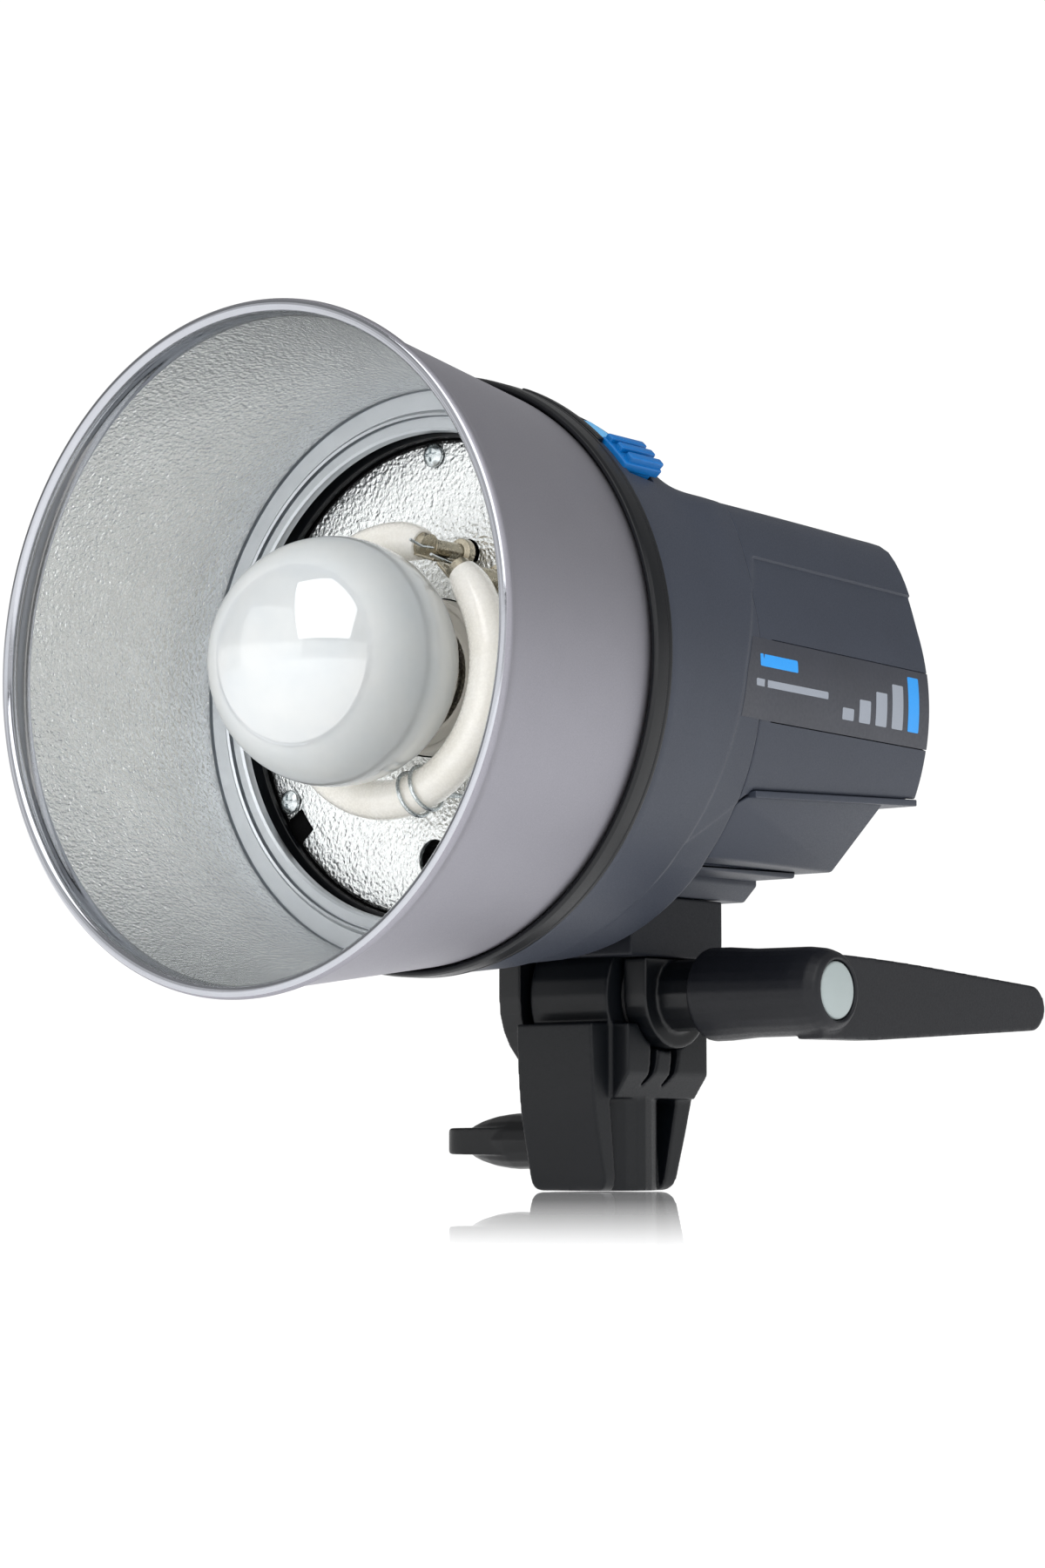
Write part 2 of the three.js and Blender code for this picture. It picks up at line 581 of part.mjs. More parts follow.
// ---------- reflector lock ----------
function lockGrip() {
  const foot = sector(68, 71.4, 39, 47, LOCK_Y[0] + 2.4, LOCK_Y[1] - 2.4);
  const steps = [[39, 47, 73], [40, 46, 73.8], [41.2, 44.8, 74.6]];
  const ridges = steps.map(([from, to, r]) => sector(72.2, r, from, to, -62, -48));
  const skirt = sector(70.6, 72.8, 39, 47, -62, -48);
  const clear = hull(bellRadius, BELL_FRONT_Y, BELL_REAR_Y, GAP);
  return join(foot, cut(join(skirt, ...ridges), clear), sector(69.4, 72.6, 39.4, 46.6, -60, -50));
}
place(head, "lock_grip", lockGrip(), bluePlastic());

const lockBand = sector(68, 70.6, 47.3, 59, LOCK_Y[0] + 2.4, LOCK_Y[1] - 2.4);
place(head, "lock_band", surface(solid(lockBand)), paleBluePlastic());

const coverLip = cut(
  sector(70, 72.9, 46, 68, -64.9, -62.4), hull(bellRadius, BELL_FRONT_Y - 1, BELL_REAR_Y, GAP));
place(head, "lock_cover", coverLip, blackPlastic());

// ---------- base plate and lamp chamber ----------
const screwPlaces = [90, 210, 330].map((a) => polar(BASE_SCREW_PITCH_R, a));
const gapSides = [-1, 1].map((side) => TUBE_GAP_ANGLE + side * TUBE_GAP_HALF);
const electrodePlaces = gapSides.map((a) => polar(TUBE_RING_R, a));
const clipPlace = polar(TUBE_RING_R, TUBE_CLIP_ANGLE);

function basePlate(r, y0, y1) {
  return cut(
    rodY(r, y0, y1, 0, 0, FINE),
    rodY(LAMP_SOCKET_R + 0.4, y0 - 1, y1 + 1, 0, 0, MEDIUM),
    rodY(UMBRELLA_R, y0 - 1, y1 + 1, 0, UMBRELLA_Z),
    ...screwPlaces.map(([x, z]) => rodY(1.8, y0 - 1, y1 + 1, x, z, 12)),
    ...electrodePlaces.map(([x, z]) => rodY(3.6, y0 - 1, y1 + 1, x, z, COARSE)),
    rodY(1.2, y0 - 1, y1 + 1, ...clipPlace, 12),
  );
}
const plate = cut(
  basePlate(BASE_PLATE_R, BASE_PLATE_FRONT_Y, BASE_PLATE_REAR_Y),
  sector(52, 62, 213.5, 221, BASE_PLATE_FRONT_Y - 1, BASE_PLATE_REAR_Y + 1),
);
place(head, "base_plate", plate, satinAluminium());
place(head, "bulkhead", basePlate(66, -63.5, -61), blackPlastic());

function crossRecess(y0, y1) {
  return [box(-2, 2, y0, y1, -0.4, 0.4), box(-0.4, 0.4, y0, y1, -2, 2)];
}

screwPlaces.forEach(([x, z], index) => {
  const headFront = -66.9;
  const shape = turned([
    [0, headFront], [2, headFront], [3, -66.2], [3, -65.3], [1.5, -65.3], [1.5, -58], [0, -58],
  ], COARSE);
  const slots = crossRecess(headFront - 1, headFront + 0.9);
  place(head, `base_screw_${index + 1}`, cut(shape, ...slots), steel(), x, 0, z);
});

const socketShape = turned([
  [0, -38], [LAMP_SOCKET_R, -38], [LAMP_SOCKET_R, -70], [13.9, -70], [13.9, -41], [0, -41],
], MEDIUM);
place(head, "lamp_socket", surface(solid(socketShape)), whiteCeramic());

function lampCap() {
  const profile = [[0, -73], [12.6, -73]];
  for (let y = -70; y < -50; y += 5) profile.push([13.2, y], [12.2, y + 2.5]);
  profile.push([9, -47], [5, -43], [0, -43]);
  return surface(solid(turned(profile, 28)));
}
place(head, "lamp_cap", lampCap(), brass());

// The frosted globe is a glass shell, open where its neck meets the cap.
function lampGlobe() {
  const wall = 1;
  const neckR = 12.8;
  const neckY = -73.4;
  const skin = (r, neck) => {
    const points = [];
    const flare = Math.PI - Math.asin((neck + 5) / r);
    for (let i = 0; i <= GLOBE_STEPS; i++) {
      const a = (flare * i) / GLOBE_STEPS;
      points.push([r * Math.sin(a), GLOBE_Y - r * Math.cos(a)]);
    }
    points.push([neck, neckY]);
    return points;
  };
  const outer = skin(GLOBE_R, neckR);
  const inner = skin(GLOBE_R - wall, neckR - wall).reverse();
  return surface(solid(turned([...outer, ...inner], MEDIUM)));
}
place(head, "lamp_globe", lampGlobe(), frostedGlass());

// The flash tube is a ring of glass, open by a gap where its two electrodes are.
class RingPath extends THREE.Curve {
  getPoint(t, target = new THREE.Vector3()) {
    const open = TUBE_GAP_HALF + 1;
    const [x, z] = polar(TUBE_RING_R, TUBE_GAP_ANGLE + open + t * (360 - 2 * open));
    return target.set(x, TUBE_Y, z);
  }
}
// A solid bent rod that fills the flash tube's glass, or its room with a larger radius.
function ringRod(radius) {
  const section = new THREE.Shape();
  section.absarc(0, 0, radius, 0, Math.PI * 2, false);
  return new THREE.ExtrudeGeometry(section, {
    steps: 36, extrudePath: new RingPath(), bevelEnabled: false, curveSegments: 4,
  });
}
place(head, "flash_tube", surface(solid(ringRod(TUBE_R))), clearGlass());

// Each electrode is a post with a thin strap that reaches toward the gap's middle.
electrodePlaces.forEach(([x, z], index) => {
  const reach = 5.5;
  const [z0, z1] = index ? [-reach, 0] : [0, reach];
  const post = rodY(2.6, TUBE_Y - 2, -57, x, z, COARSE);
  const strap = box(-0.4, 0.4, TUBE_Y - 6, TUBE_Y + 3, z0, z1);
  strap.rotateY(-THREE.MathUtils.degToRad(gapSides[index])).translate(x, 0, z);
  place(head, `electrode_${index + 1}`, cut(join(post, strap), ringRod(TUBE_R + GAP)), steel());
});

// A spring clip of round wire holds the tube's lower side.
function tubeClip() {
  const [x, z] = clipPlace;
  const loop = new THREE.TorusGeometry(TUBE_R + 1.2, 0.6, 8, 24).rotateY(Math.PI / 2);
  loop.rotateY(-THREE.MathUtils.degToRad(TUBE_CLIP_ANGLE + 90)).translate(x, TUBE_Y, z);
  return join(loop, rodY(0.8, TUBE_Y + TUBE_R + 1, -57, x, z, 10));
}
place(head, "tube_clip", tubeClip(), steel());

const shaftTube = pipeY(4.1, UMBRELLA_R, -60.7, BLOCK_REAR_Y, 0, UMBRELLA_Z, COARSE);
place(head, "umbrella_tube", surface(solid(shaftTube)), steel());

// ---------- electronics ----------
const can = turned([[0, -8], [17, -8], [17.5, -6.5], [17.5, 38.5], [17, 40], [0, 40]], MEDIUM);
place(head, "flash_capacitor_1", surface(solid(can)), bluePlastic(), -24, 0, 8.5);
place(head, "flash_capacitor_2", surface(solid(can.clone())), bluePlastic(), 24, 0, 8.5);

const core = cut(
  box(-30, 30, 8, 32, -37.5, -14.5), box(6, 24, 6, 34, -32, -20), box(-24, -6, 6, 34, -32, -20));
place(head, "transformer_core", core, steel());
const coil = cut(box(-23.6, 23.6, 3.4, 36.6, -31.6, -20.4), box(-6.4, 6.4, 7.6, 32.4, -40, -10));
place(head, "transformer_coil", coil, copper());

place(head, "main_board", surface(solid(box(-52, 52, -16, 32, -12.6, -11))), boardGreen());
place(head, "control_board", surface(solid(box(-40, 34, 45.4, 47, 6, 40))), boardGreen());

// ---------- fan ----------
function fanFrame() {
  const frame = cut(
    box(-FAN_HALF, FAN_HALF, FAN_FRONT_Y, FAN_REAR_Y, -FAN_HALF, FAN_HALF),
    rodY(18.6, FAN_FRONT_Y - 1, FAN_REAR_Y + 1, 0, 0, MEDIUM),
  );
  const spokes = [0, 60, 120].map((a) =>
    box(-19.5, 19.5, FAN_REAR_Y - 1.6, FAN_REAR_Y, -1.2, 1.2).rotateY(THREE.MathUtils.degToRad(a)));
  return join(frame, ...spokes, rodY(8, FAN_REAR_Y - 1.6, FAN_REAR_Y));
}
place(head, "fan_frame", fanFrame(), blackPlastic(), 0, 0, FAN_Z);

function fanRotor() {
  const blades = [];
  const count = 7;
  for (let i = 0; i < count; i++) {
    const blade = box(6, 17.6, -0.5, 0.5, -3.4, 3.4).rotateX(THREE.MathUtils.degToRad(-50));
    blades.push(blade.rotateY((i * Math.PI * 2) / count).translate(0, FAN_FRONT_Y + 4, 0));
  }
  return join(rodY(7.6, FAN_FRONT_Y + 0.5, FAN_REAR_Y - 2.2), ...blades);
}
place(head, "fan_rotor", fanRotor(), blackPlastic(), 0, 0, FAN_Z);

// ---------- rear control panel ----------
const INLET = { x: -4, z: -8, halfW: 14, halfH: 10.5 };
const ROCKER = { x: -38, z: -8, halfW: 6.5, halfH: 9.5 };
const FUSE = { x: 24, z: -8, r: 6.5 };
const SYNC = { x: 42, z: -8, r: 4.2 };
const DISPLAY = { x: -14, z: 34, halfW: 16, halfH: 7.5 };
const CELL = { x: 18, z: 35, r: 5 };
const BUTTON_HALF = [6, 3.6];
const opening = ({ x, z, halfW, halfH }, slack) =>
  box(x - halfW - slack, x + halfW + slack, 50, 60, z - halfH - slack, z + halfH + slack);
const buttonSpot = (x) => ({ x, z: BUTTON_Z, halfW: BUTTON_HALF[0], halfH: BUTTON_HALF[1] });

function rearPanel() {
  const disc = common(
    hull(bodyRadius, PANEL_FRONT_Y, PANEL_REAR_Y, -SHELL_WALL - GAP), aboveLedge(GAP));
  const vents = [-30, -18, -6, 6, 18, 30].map((x) => box(x - 4.5, x + 4.5, 50, 60, -22, -19.6));
  return cut(
    disc, ...vents, ...BUTTON_XS.map((x) => opening(buttonSpot(x), GAP)),
    opening(INLET, GAP), opening(ROCKER, GAP), opening(DISPLAY, GAP),
    rodY(FUSE.r + GAP, 50, 60, FUSE.x, FUSE.z), rodY(SYNC.r + GAP, 50, 60, SYNC.x, SYNC.z),
    rodY(CELL.r + GAP, 50, 60, CELL.x, CELL.z),
    ...[-1, 1].map((side) => rodY(1.8, 50, 60, SCREW_X * side, SCREW_Z, 12)),
  );
}
place(head, "rear_panel", rearPanel(), blackPlastic());

[-1, 1].forEach((side, index) => {
  const headRear = 59.2;
  const shape = turned([
    [0, 48], [1.4, 48], [1.4, 57.3], [3, 57.3], [3, 58.4], [2, headRear], [0, headRear],
  ], COARSE);
  const screw = cut(shape, ...crossRecess(headRear - 0.7, headRear + 1));
  place(head, `panel_screw_${index + 1}`, screw, steel(), SCREW_X * side, 0, SCREW_Z);
});

function mainsInlet() {
  const { halfW, halfH } = INLET;
  const body = box(-halfW, halfW, 42, 57.6, -halfH, halfH);
  const rim = box(-halfW - 1.5, halfW + 1.5, 57.4, 58.8, -halfH - 1.5, halfH + 1.5);
  const outline = [[-12, -8], [12, -8], [12, 3], [7, 8], [-7, 8], [-12, 3]];
  return cut(join(body, rim), sweepY(outline, 46, 60));
}
place(head, "mains_inlet", mainsInlet(), blackPlastic(), INLET.x, 0, INLET.z);
[[-7, -2], [0, 2], [7, -2]].forEach(([x, z], index) => {
  const pin = box(-1, 1, 46.3, 55, -2, 2);
  place(head, `inlet_pin_${index + 1}`, surface(solid(pin)), brass(), INLET.x + x, 0, INLET.z + z);
});

const rockerOutline = [
  [48, -5.4], [55, -8.2], [58.4, -8.6], [58.9, 0], [60.2, 8.4], [55, 8.2], [48, 5.4],
];
place(head, "power_rocker", surface(solid(sweepX(rockerOutline, -6.2, 6.2))), blackPlastic(),
  ROCKER.x, 0, ROCKER.z);

function fuseCap() {
  const knobR = FUSE.r - 0.2;
  const cap = turned([[0, 46], [4.5, 46], [4.5, 54], [knobR, 54], [knobR, 60], [5.6, 61], [0, 61]], 24);
  return cut(cap, box(-4, 4, 60, 62, -0.6, 0.6));
}
place(head, "fuse_cap", fuseCap(), blackPlastic(), FUSE.x, 0, FUSE.z);

const jack = turned([[1.8, 46], [SYNC.r, 46], [SYNC.r, 58.4], [1.8, 58.4]], COARSE);
place(head, "sync_socket", surface(solid(jack)), steel(), SYNC.x, 0, SYNC.z);

const window = box(-DISPLAY.halfW, DISPLAY.halfW, 53, 57.4, -DISPLAY.halfH, DISPLAY.halfH);
place(head, "display_window", surface(solid(window)), blackPlastic(), DISPLAY.x, 0, DISPLAY.z);

const dome = [[0, 53], [CELL.r, 53], [CELL.r, 57]];
for (let i = 1; i <= 5; i++) {
  const a = (i * Math.PI) / 10;
  dome.push([CELL.r * Math.cos(a), 57 + CELL.r * Math.sin(a)]);
}
place(head, "cell_dome", surface(solid(turned(dome, COARSE))), clearGlass(), CELL.x, 0, CELL.z);

BUTTON_XS.forEach((x, index) => {
  const [halfW, halfH] = BUTTON_HALF;
  const key = join(
    box(-halfW + GAP, halfW - GAP, 50, 59, -halfH + GAP, halfH - GAP),
    box(-2, 2, 49, 51, -2, 2));
  place(head, `panel_button_${index + 1}`, key, greyPlastic(), x, 0, BUTTON_Z);
});

export default strobe;
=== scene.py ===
"""Looks for the monolight strobe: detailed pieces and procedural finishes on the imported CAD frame.

Lengths in this file are millimetres unless a name says otherwise. They become metres as each mesh is made.
"""

import json
import math

import bmesh
import bpy
from mathutils import Matrix, Vector


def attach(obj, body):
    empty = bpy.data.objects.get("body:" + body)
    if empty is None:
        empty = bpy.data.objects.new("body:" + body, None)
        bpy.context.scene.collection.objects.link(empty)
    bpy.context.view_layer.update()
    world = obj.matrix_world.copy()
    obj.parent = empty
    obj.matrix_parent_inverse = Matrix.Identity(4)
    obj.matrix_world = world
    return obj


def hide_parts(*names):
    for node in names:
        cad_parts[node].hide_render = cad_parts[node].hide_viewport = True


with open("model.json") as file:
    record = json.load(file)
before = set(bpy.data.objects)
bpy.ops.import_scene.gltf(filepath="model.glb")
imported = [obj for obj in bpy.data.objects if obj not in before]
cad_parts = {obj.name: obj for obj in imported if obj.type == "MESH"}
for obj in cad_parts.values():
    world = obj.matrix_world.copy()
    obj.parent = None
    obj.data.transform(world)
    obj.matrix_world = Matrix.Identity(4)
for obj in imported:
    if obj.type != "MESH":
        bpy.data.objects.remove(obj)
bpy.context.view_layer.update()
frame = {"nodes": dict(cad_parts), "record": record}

MM = 0.001
AXIS_Z = 123.7  # height of the optical axis
HEAD = (0, 0, AXIS_Z)
TILT_Y, TILT_Z = 4.0, 48.6
record = frame["record"]
BODY_OF = {n: b for b, names in record["behaviour"]["bodies"].items() for n in names}
SLOT_OF = {s["node"]: s["material_slot"] for s in record["subparts"]}


# ---------- camera ----------
def aim_camera():
    data = bpy.data.cameras.new("camera")
    data.sensor_width = 36
    data.lens = 80
    data.clip_start, data.clip_end = 0.01, 50
    camera = bpy.data.objects.new("camera", data)
    bpy.context.scene.collection.objects.link(camera)
    forward = Vector((-0.6355, 0.765, 0.1045)).normalized()
    up = Vector((0.0668, -0.0804, 0.9945))
    right = forward.cross(up).normalized()
    up = right.cross(forward)
    turn = Matrix((right, up, -forward)).transposed()
    camera.matrix_world = Matrix.Translation((0.5501, -0.6939, 0.0101)) @ turn.to_4x4()
    bpy.context.scene.camera = camera


# ---------- finishes ----------
def linear(r, g, b):
    """A linear colour from 8-bit sRGB numbers."""
    def lift(v):
        v /= 255
        return v / 12.92 if v <= 0.04045 else ((v + 0.055) / 1.055) ** 2.4
    return (lift(r), lift(g), lift(b), 1.0)


def scaled(colour, k):
    return tuple(min(1.0, c * k) for c in colour[:3]) + (1.0,)


class Finish:
    """A Principled material with a few helpers for its node tree. Texture sizes are in millimetres."""

    def __init__(self, name, colour, roughness, metallic=0.0, **uniform):
        self.material = bpy.data.materials.new(name)
        self.material.use_nodes = True
        self.tree = self.material.node_tree
        self.shader = self.tree.nodes["Principled BSDF"]
        self.set("Base Color", colour)
        self.set("Roughness", roughness)
        self.set("Metallic", metallic)
        for socket, value in uniform.items():
            self.set(socket.replace("_", " "), value)
        self.coords = self.node("ShaderNodeTexCoord").outputs["Object"]
        self.material.diffuse_color = colour

    def set(self, socket, value):
        self.shader.inputs[socket].default_value = value

    def node(self, kind, **settings):
        made = self.tree.nodes.new(kind)
        for key, value in settings.items():
            setattr(made, key, value)
        return made

    def link(self, output, target):
        self.tree.links.new(output, target)

    def noise(self, size, detail=2.0, roughness=0.5):
        made = self.node("ShaderNodeTexNoise")
        made.inputs["Scale"].default_value = 1 / (size * MM)
        made.inputs["Detail"].default_value = detail
        made.inputs["Roughness"].default_value = roughness
        self.link(self.coords, made.inputs["Vector"])
        return made.outputs["Fac"]

    def cells(self, size, smooth, distort):
        """Height of rounded cells with wavering borders."""
        wobble = self.node("ShaderNodeTexNoise")
        wobble.inputs["Scale"].default_value = 0.6 / (size * MM)
        self.link(self.coords, wobble.inputs["Vector"])
        shift = self.node("ShaderNodeVectorMath", operation="SCALE")
        shift.inputs["Scale"].default_value = distort * size * MM
        self.link(wobble.outputs["Color"], shift.inputs[0])
        total = self.node("ShaderNodeVectorMath", operation="ADD")
        self.link(self.coords, total.inputs[0])
        self.link(shift.outputs["Vector"], total.inputs[1])
        made = self.node("ShaderNodeTexVoronoi", feature="SMOOTH_F1")
        made.inputs["Scale"].default_value = 1 / (size * MM)
        made.inputs["Smoothness"].default_value = smooth
        self.link(total.outputs["Vector"], made.inputs["Vector"])
        return made.outputs["Distance"]

    def ramp(self, value, *stops):
        """A colour from a value, by (value, colour) stops."""
        made = self.node("ShaderNodeValToRGB")
        elements = made.color_ramp.elements
        while len(elements) < len(stops):
            elements.new(0.5)
        for element, (position, colour) in zip(elements, stops):
            element.position = position
            element.color = colour
        self.link(value, made.inputs["Fac"])
        return made.outputs["Color"]

    def spread(self, value, low, high, source=(0.3, 0.7)):
        made = self.node("ShaderNodeMapRange")
        for name, number in zip(("From Min", "From Max", "To Min", "To Max"), (*source, low, high)):
            made.inputs[name].default_value = number
        self.link(value, made.inputs["Value"])
        return made.outputs["Result"]

    def math(self, operation, a, b):
        made = self.node("ShaderNodeMath", operation=operation)
        for slot, value in zip(made.inputs, (a, b)):
            if isinstance(value, (int, float)):
                slot.default_value = value
            else:
                self.link(value, slot)
        return made.outputs["Value"]

    def bump(self, height, depth, strength=1.0):
        made = self.node("ShaderNodeBump")
        made.inputs["Distance"].default_value = depth * MM
        made.inputs["Strength"].default_value = strength
        self.link(height, made.inputs["Height"])
        self.link(made.outputs["Normal"], self.shader.inputs["Normal"])

    def to(self, socket, output):
        self.link(output, self.shader.inputs[socket])

    def rubbed_and_highlit_edges(self, colour, paler_wear_and_highlight):
        """Lightens the edges: partly rubbed wear, partly a painted highlight along edges that catch the
        light.
        """
        geometry = self.node("ShaderNodeNewGeometry")
        edge = self.spread(geometry.outputs["Pointiness"], 0.0, 1.0, (0.53, 0.6))
        patchy_wear_and_highlight = self.math("MULTIPLY", edge, self.spread(self.noise(2.5, 3), 0.1, 0.9))
        made = self.node("ShaderNodeMix", data_type="RGBA")
        self.link(patchy_wear_and_highlight, made.inputs["Factor"])
        self.link(colour, made.inputs[6])
        made.inputs[7].default_value = paler_wear_and_highlight
        return made.outputs[2]


def moulded(name, colour, roughness, grain=0.45, depth=0.03, edge=0.0, **uniform):
    """Moulded plastic: a fine spark-eroded grain, uneven sheen and slightly uneven colour."""
    made = Finish(name, colour, roughness, **uniform)
    patches = made.noise(34, 3)
    tint = made.ramp(patches, (0.3, scaled(colour, 0.93)), (0.7, scaled(colour, 1.07)))
    # edge lightens sharp edges: partly wear, partly a painted highlight.
    if edge:
        tint = made.rubbed_and_highlit_edges(tint, scaled(colour, 1 + edge))
    made.to("Base Color", tint)
    grain_height = made.noise(grain, 2, 0.6)
    speck = made.spread(grain_height, roughness - 0.05, roughness + 0.08)
    made.to("Roughness", speck)
    made.bump(grain_height, depth, 0.6)
    return made.material


def metal(name, colour, roughness, size=0.8, depth=0.01, uneven=0.08):
    """Bare or plated metal: faint blotches and a fine surface unevenness."""
    made = Finish(name, colour, roughness, 1.0)
    blotches = made.noise(9, 3)
    tones = (0.3, scaled(colour, 1 - uneven)), (0.7, scaled(colour, 1 + uneven))
    made.to("Base Color", made.ramp(blotches, *tones))
    lines = made.noise(size, 3, 0.65)
    made.to("Roughness", made.spread(lines, roughness - 0.06, roughness + 0.08))
    made.bump(lines, depth, 0.5)
    return made.material


def hammered(name, colour, roughness, cell, depth):
    """Bright pebbled sheet: soft cells with a finer ripple over them."""
    made = Finish(name, colour, roughness, 1.0)
    pebbles = made.cells(cell, 0.8, 0.9)
    ripple = made.noise(cell * 0.55, 2, 0.6)
    height = made.math("ADD", pebbles, made.math("MULTIPLY", ripple, 0.8))
    tone = made.noise(14, 3)
    made.to("Base Color", made.ramp(tone, (0.3, scaled(colour, 0.93)), (0.7, colour)))
    made.to("Roughness", made.spread(ripple, roughness - 0.05, roughness + 0.07))
    made.bump(height, depth, 1.0)
    return made.material


def glass(name, colour, roughness, clear):
    """Clear plastic or glass with a slight haze."""
    made = Finish(name, colour, roughness, Transmission_Weight=clear, IOR=1.47)
    haze = made.noise(7, 3)
    made.to("Roughness", made.spread(haze, roughness - 0.02, roughness + 0.05))
    return made.material


def frosted(name):
    """Opal glass: a faint emission that paints a glow into the unlit globe, and a smooth outer face."""
    made = Finish(
        name, linear(210, 213, 214), 0.6, Subsurface_Weight=0.4, Subsurface_Scale=0.02,
        Coat_Weight=1.0, Coat_Roughness=0.02, Coat_IOR=2.1, IOR=1.5, Emission_Strength=0.06)
    made.set("Subsurface Radius", (1.0, 0.95, 0.85))
    # The emission is painted light: the lamp in the globe is not lit.
    made.set("Emission Color", linear(255, 250, 240))
    cloud = made.noise(16, 3)
    made.to("Base Color", made.ramp(cloud, (0.3, linear(192, 199, 202)), (0.7, linear(206, 209, 208))))
    frost = made.noise(0.35, 2)
    made.to("Roughness", made.spread(frost, 0.5, 0.7))
    return made.material


def opal_tube(name):
    """Milky quartz, with a faint emission that paints a glow into the unfired tube."""
    made = Finish(
        name, linear(226, 224, 217), 0.25, Subsurface_Weight=0.3, Subsurface_Scale=0.01, IOR=1.46,
        Coat_Weight=0.8, Coat_Roughness=0.04, Emission_Strength=0.14)
    made.set("Subsurface Radius", (1.0, 0.93, 0.8))
    # The emission is painted light: the tube is not firing.
    made.set("Emission Color", linear(255, 249, 238))
    cloud = made.noise(8, 3)
    made.to("Base Color", made.ramp(cloud, (0.3, linear(220, 217, 208)), (0.7, linear(230, 228, 222))))
    made.to("Roughness", made.spread(made.noise(0.6, 2), 0.2, 0.34))
    return made.material


def printed_film(name):
    """Dark satin film."""
    made = Finish(name, linear(36, 39, 49), 0.4)
    tone = made.noise(22, 3)
    made.to("Base Color", made.ramp(tone, (0.3, linear(34, 37, 46)), (0.7, linear(39, 42, 52))))
    film = made.noise(0.9, 2)
    made.to("Roughness", made.spread(film, 0.36, 0.48))
    made.bump(film, 0.006, 0.3)
    return made.material


def circuit_board(name):
    """Green lacquer with a raised grid of tracks."""
    made = Finish(name, linear(26, 92, 56), 0.35, Coat_Weight=0.4)
    tracks = made.node("ShaderNodeTexBrick")
    tracks.inputs["Scale"].default_value = 90
    tracks.inputs["Mortar Size"].default_value = 0.06
    tracks.inputs["Color1"].default_value = linear(22, 84, 50)
    tracks.inputs["Color2"].default_value = linear(30, 100, 62)
    tracks.inputs["Mortar"].default_value = linear(150, 150, 96)
    made.link(made.coords, tracks.inputs["Vector"])
    made.to("Base Color", tracks.outputs["Color"])
    made.bump(tracks.outputs["Fac"], 0.05, 0.5)
    return made.material


def layered(name, colour, roughness, metallic, pitch, direction, depth):
    """Stacked laminations or wound wire: fine parallel ridges, with painted shade in their hollows."""
    made = Finish(name, colour, roughness, metallic)
    ridges = made.node("ShaderNodeTexWave", wave_type="BANDS", bands_direction=direction)
    ridges.inputs["Scale"].default_value = 0.05 / (pitch * MM) * math.pi
    ridges.inputs["Distortion"].default_value = 0.6
    made.link(made.coords, ridges.inputs["Vector"])
    # The hollows between the ridges are coloured darker: painted shade.
    shade = made.ramp(ridges.outputs["Fac"], (0.0, scaled(colour, 0.55)), (0.6, colour))
    made.to("Base Color", shade)
    made.to("Roughness", made.spread(made.noise(3, 3), roughness - 0.08, roughness + 0.1))
    made.bump(ridges.outputs["Fac"], depth, 0.8)
    return made.material


FINISH = {
    "black_casting": moulded(
        "black_casting", linear(6, 9, 14), 0.4, 0.5, 0.02, edge=0.6, Specular_IOR_Level=0.25),
    "fibre_disc": moulded("fibre_disc", linear(28, 28, 30), 0.8, 0.5, 0.06),
    "brass": metal("brass", linear(196, 160, 96), 0.3),
    "zinc_steel": metal("zinc_steel", linear(196, 202, 204), 0.24, size=0.6),
    "black_plastic": moulded(
        "black_plastic", linear(5, 7, 11), 0.34, 0.4, 0.015, edge=0.6, Specular_IOR_Level=0.3),
    "lever_plastic": moulded(
        "lever_plastic", linear(10, 12, 18), 0.44, 0.55, 0.04, edge=0.3, Specular_IOR_Level=0.3),
    "housing_plastic": moulded(
        "housing_plastic", linear(44, 49, 60), 0.5, 0.4, 0.015, edge=0.35, Specular_IOR_Level=0.35),
    "label_film": printed_film("label_film"),
    "grey_plastic": moulded(
        "grey_plastic", linear(16, 19, 26), 0.5, 0.4, 0.02, edge=0.3, Specular_IOR_Level=0.25),
    "button_plastic": moulded("button_plastic", linear(150, 160, 160), 0.45, 0.35, 0.04, edge=0.2),
    "blue_plastic": moulded(
        "blue_plastic", linear(0, 92, 158), 0.4, 0.5, 0.01, edge=0.2, Specular_IOR_Level=0.3),
    "pale_blue_plastic": moulded("pale_blue_plastic", linear(84, 168, 222), 0.36, 0.5, 0.01),
    "reflector_aluminium": metal(
        "reflector_aluminium", linear(146, 145, 152), 0.55, size=0.35, depth=0.004, uneven=0.012),
    "hammered_aluminium": hammered("hammered_aluminium", linear(228, 230, 230), 0.18, 1.1, 0.34),
    "ceramic": moulded("ceramic", linear(226, 222, 214), 0.6, 0.8, 0.03),
    "frosted_glass": frosted("frosted_glass"),
    "clear_glass": glass("clear_glass", linear(252, 250, 243), 0.2, 0.6),
    "capacitor_sleeve": moulded("capacitor_sleeve", linear(22, 34, 82), 0.28, 3, 0.02, Coat_Weight=0.5),
    "panel_aluminium": moulded("panel_aluminium", linear(24, 26, 30), 0.5, 0.5, 0.04, edge=1.0),
    "cap_aluminium": metal("cap_aluminium", linear(206, 204, 198), 0.26),
    "core_steel": layered("core_steel", linear(96, 94, 90), 0.5, 0.8, 0.7, "Y", 0.1),
    "copper_winding": layered("copper_winding", linear(184, 104, 62), 0.3, 0.9, 0.8, "X", 0.2),
    "circuit_board": circuit_board("circuit_board"),
    "display_plastic": moulded("display_plastic", linear(34, 10, 10), 0.12, 1.2, 0.003, Coat_Weight=0.8),
}
BRIGHT_PEBBLE = hammered("bowl_pebble", linear(246, 247, 246), 0.17, 1.0, 0.34)
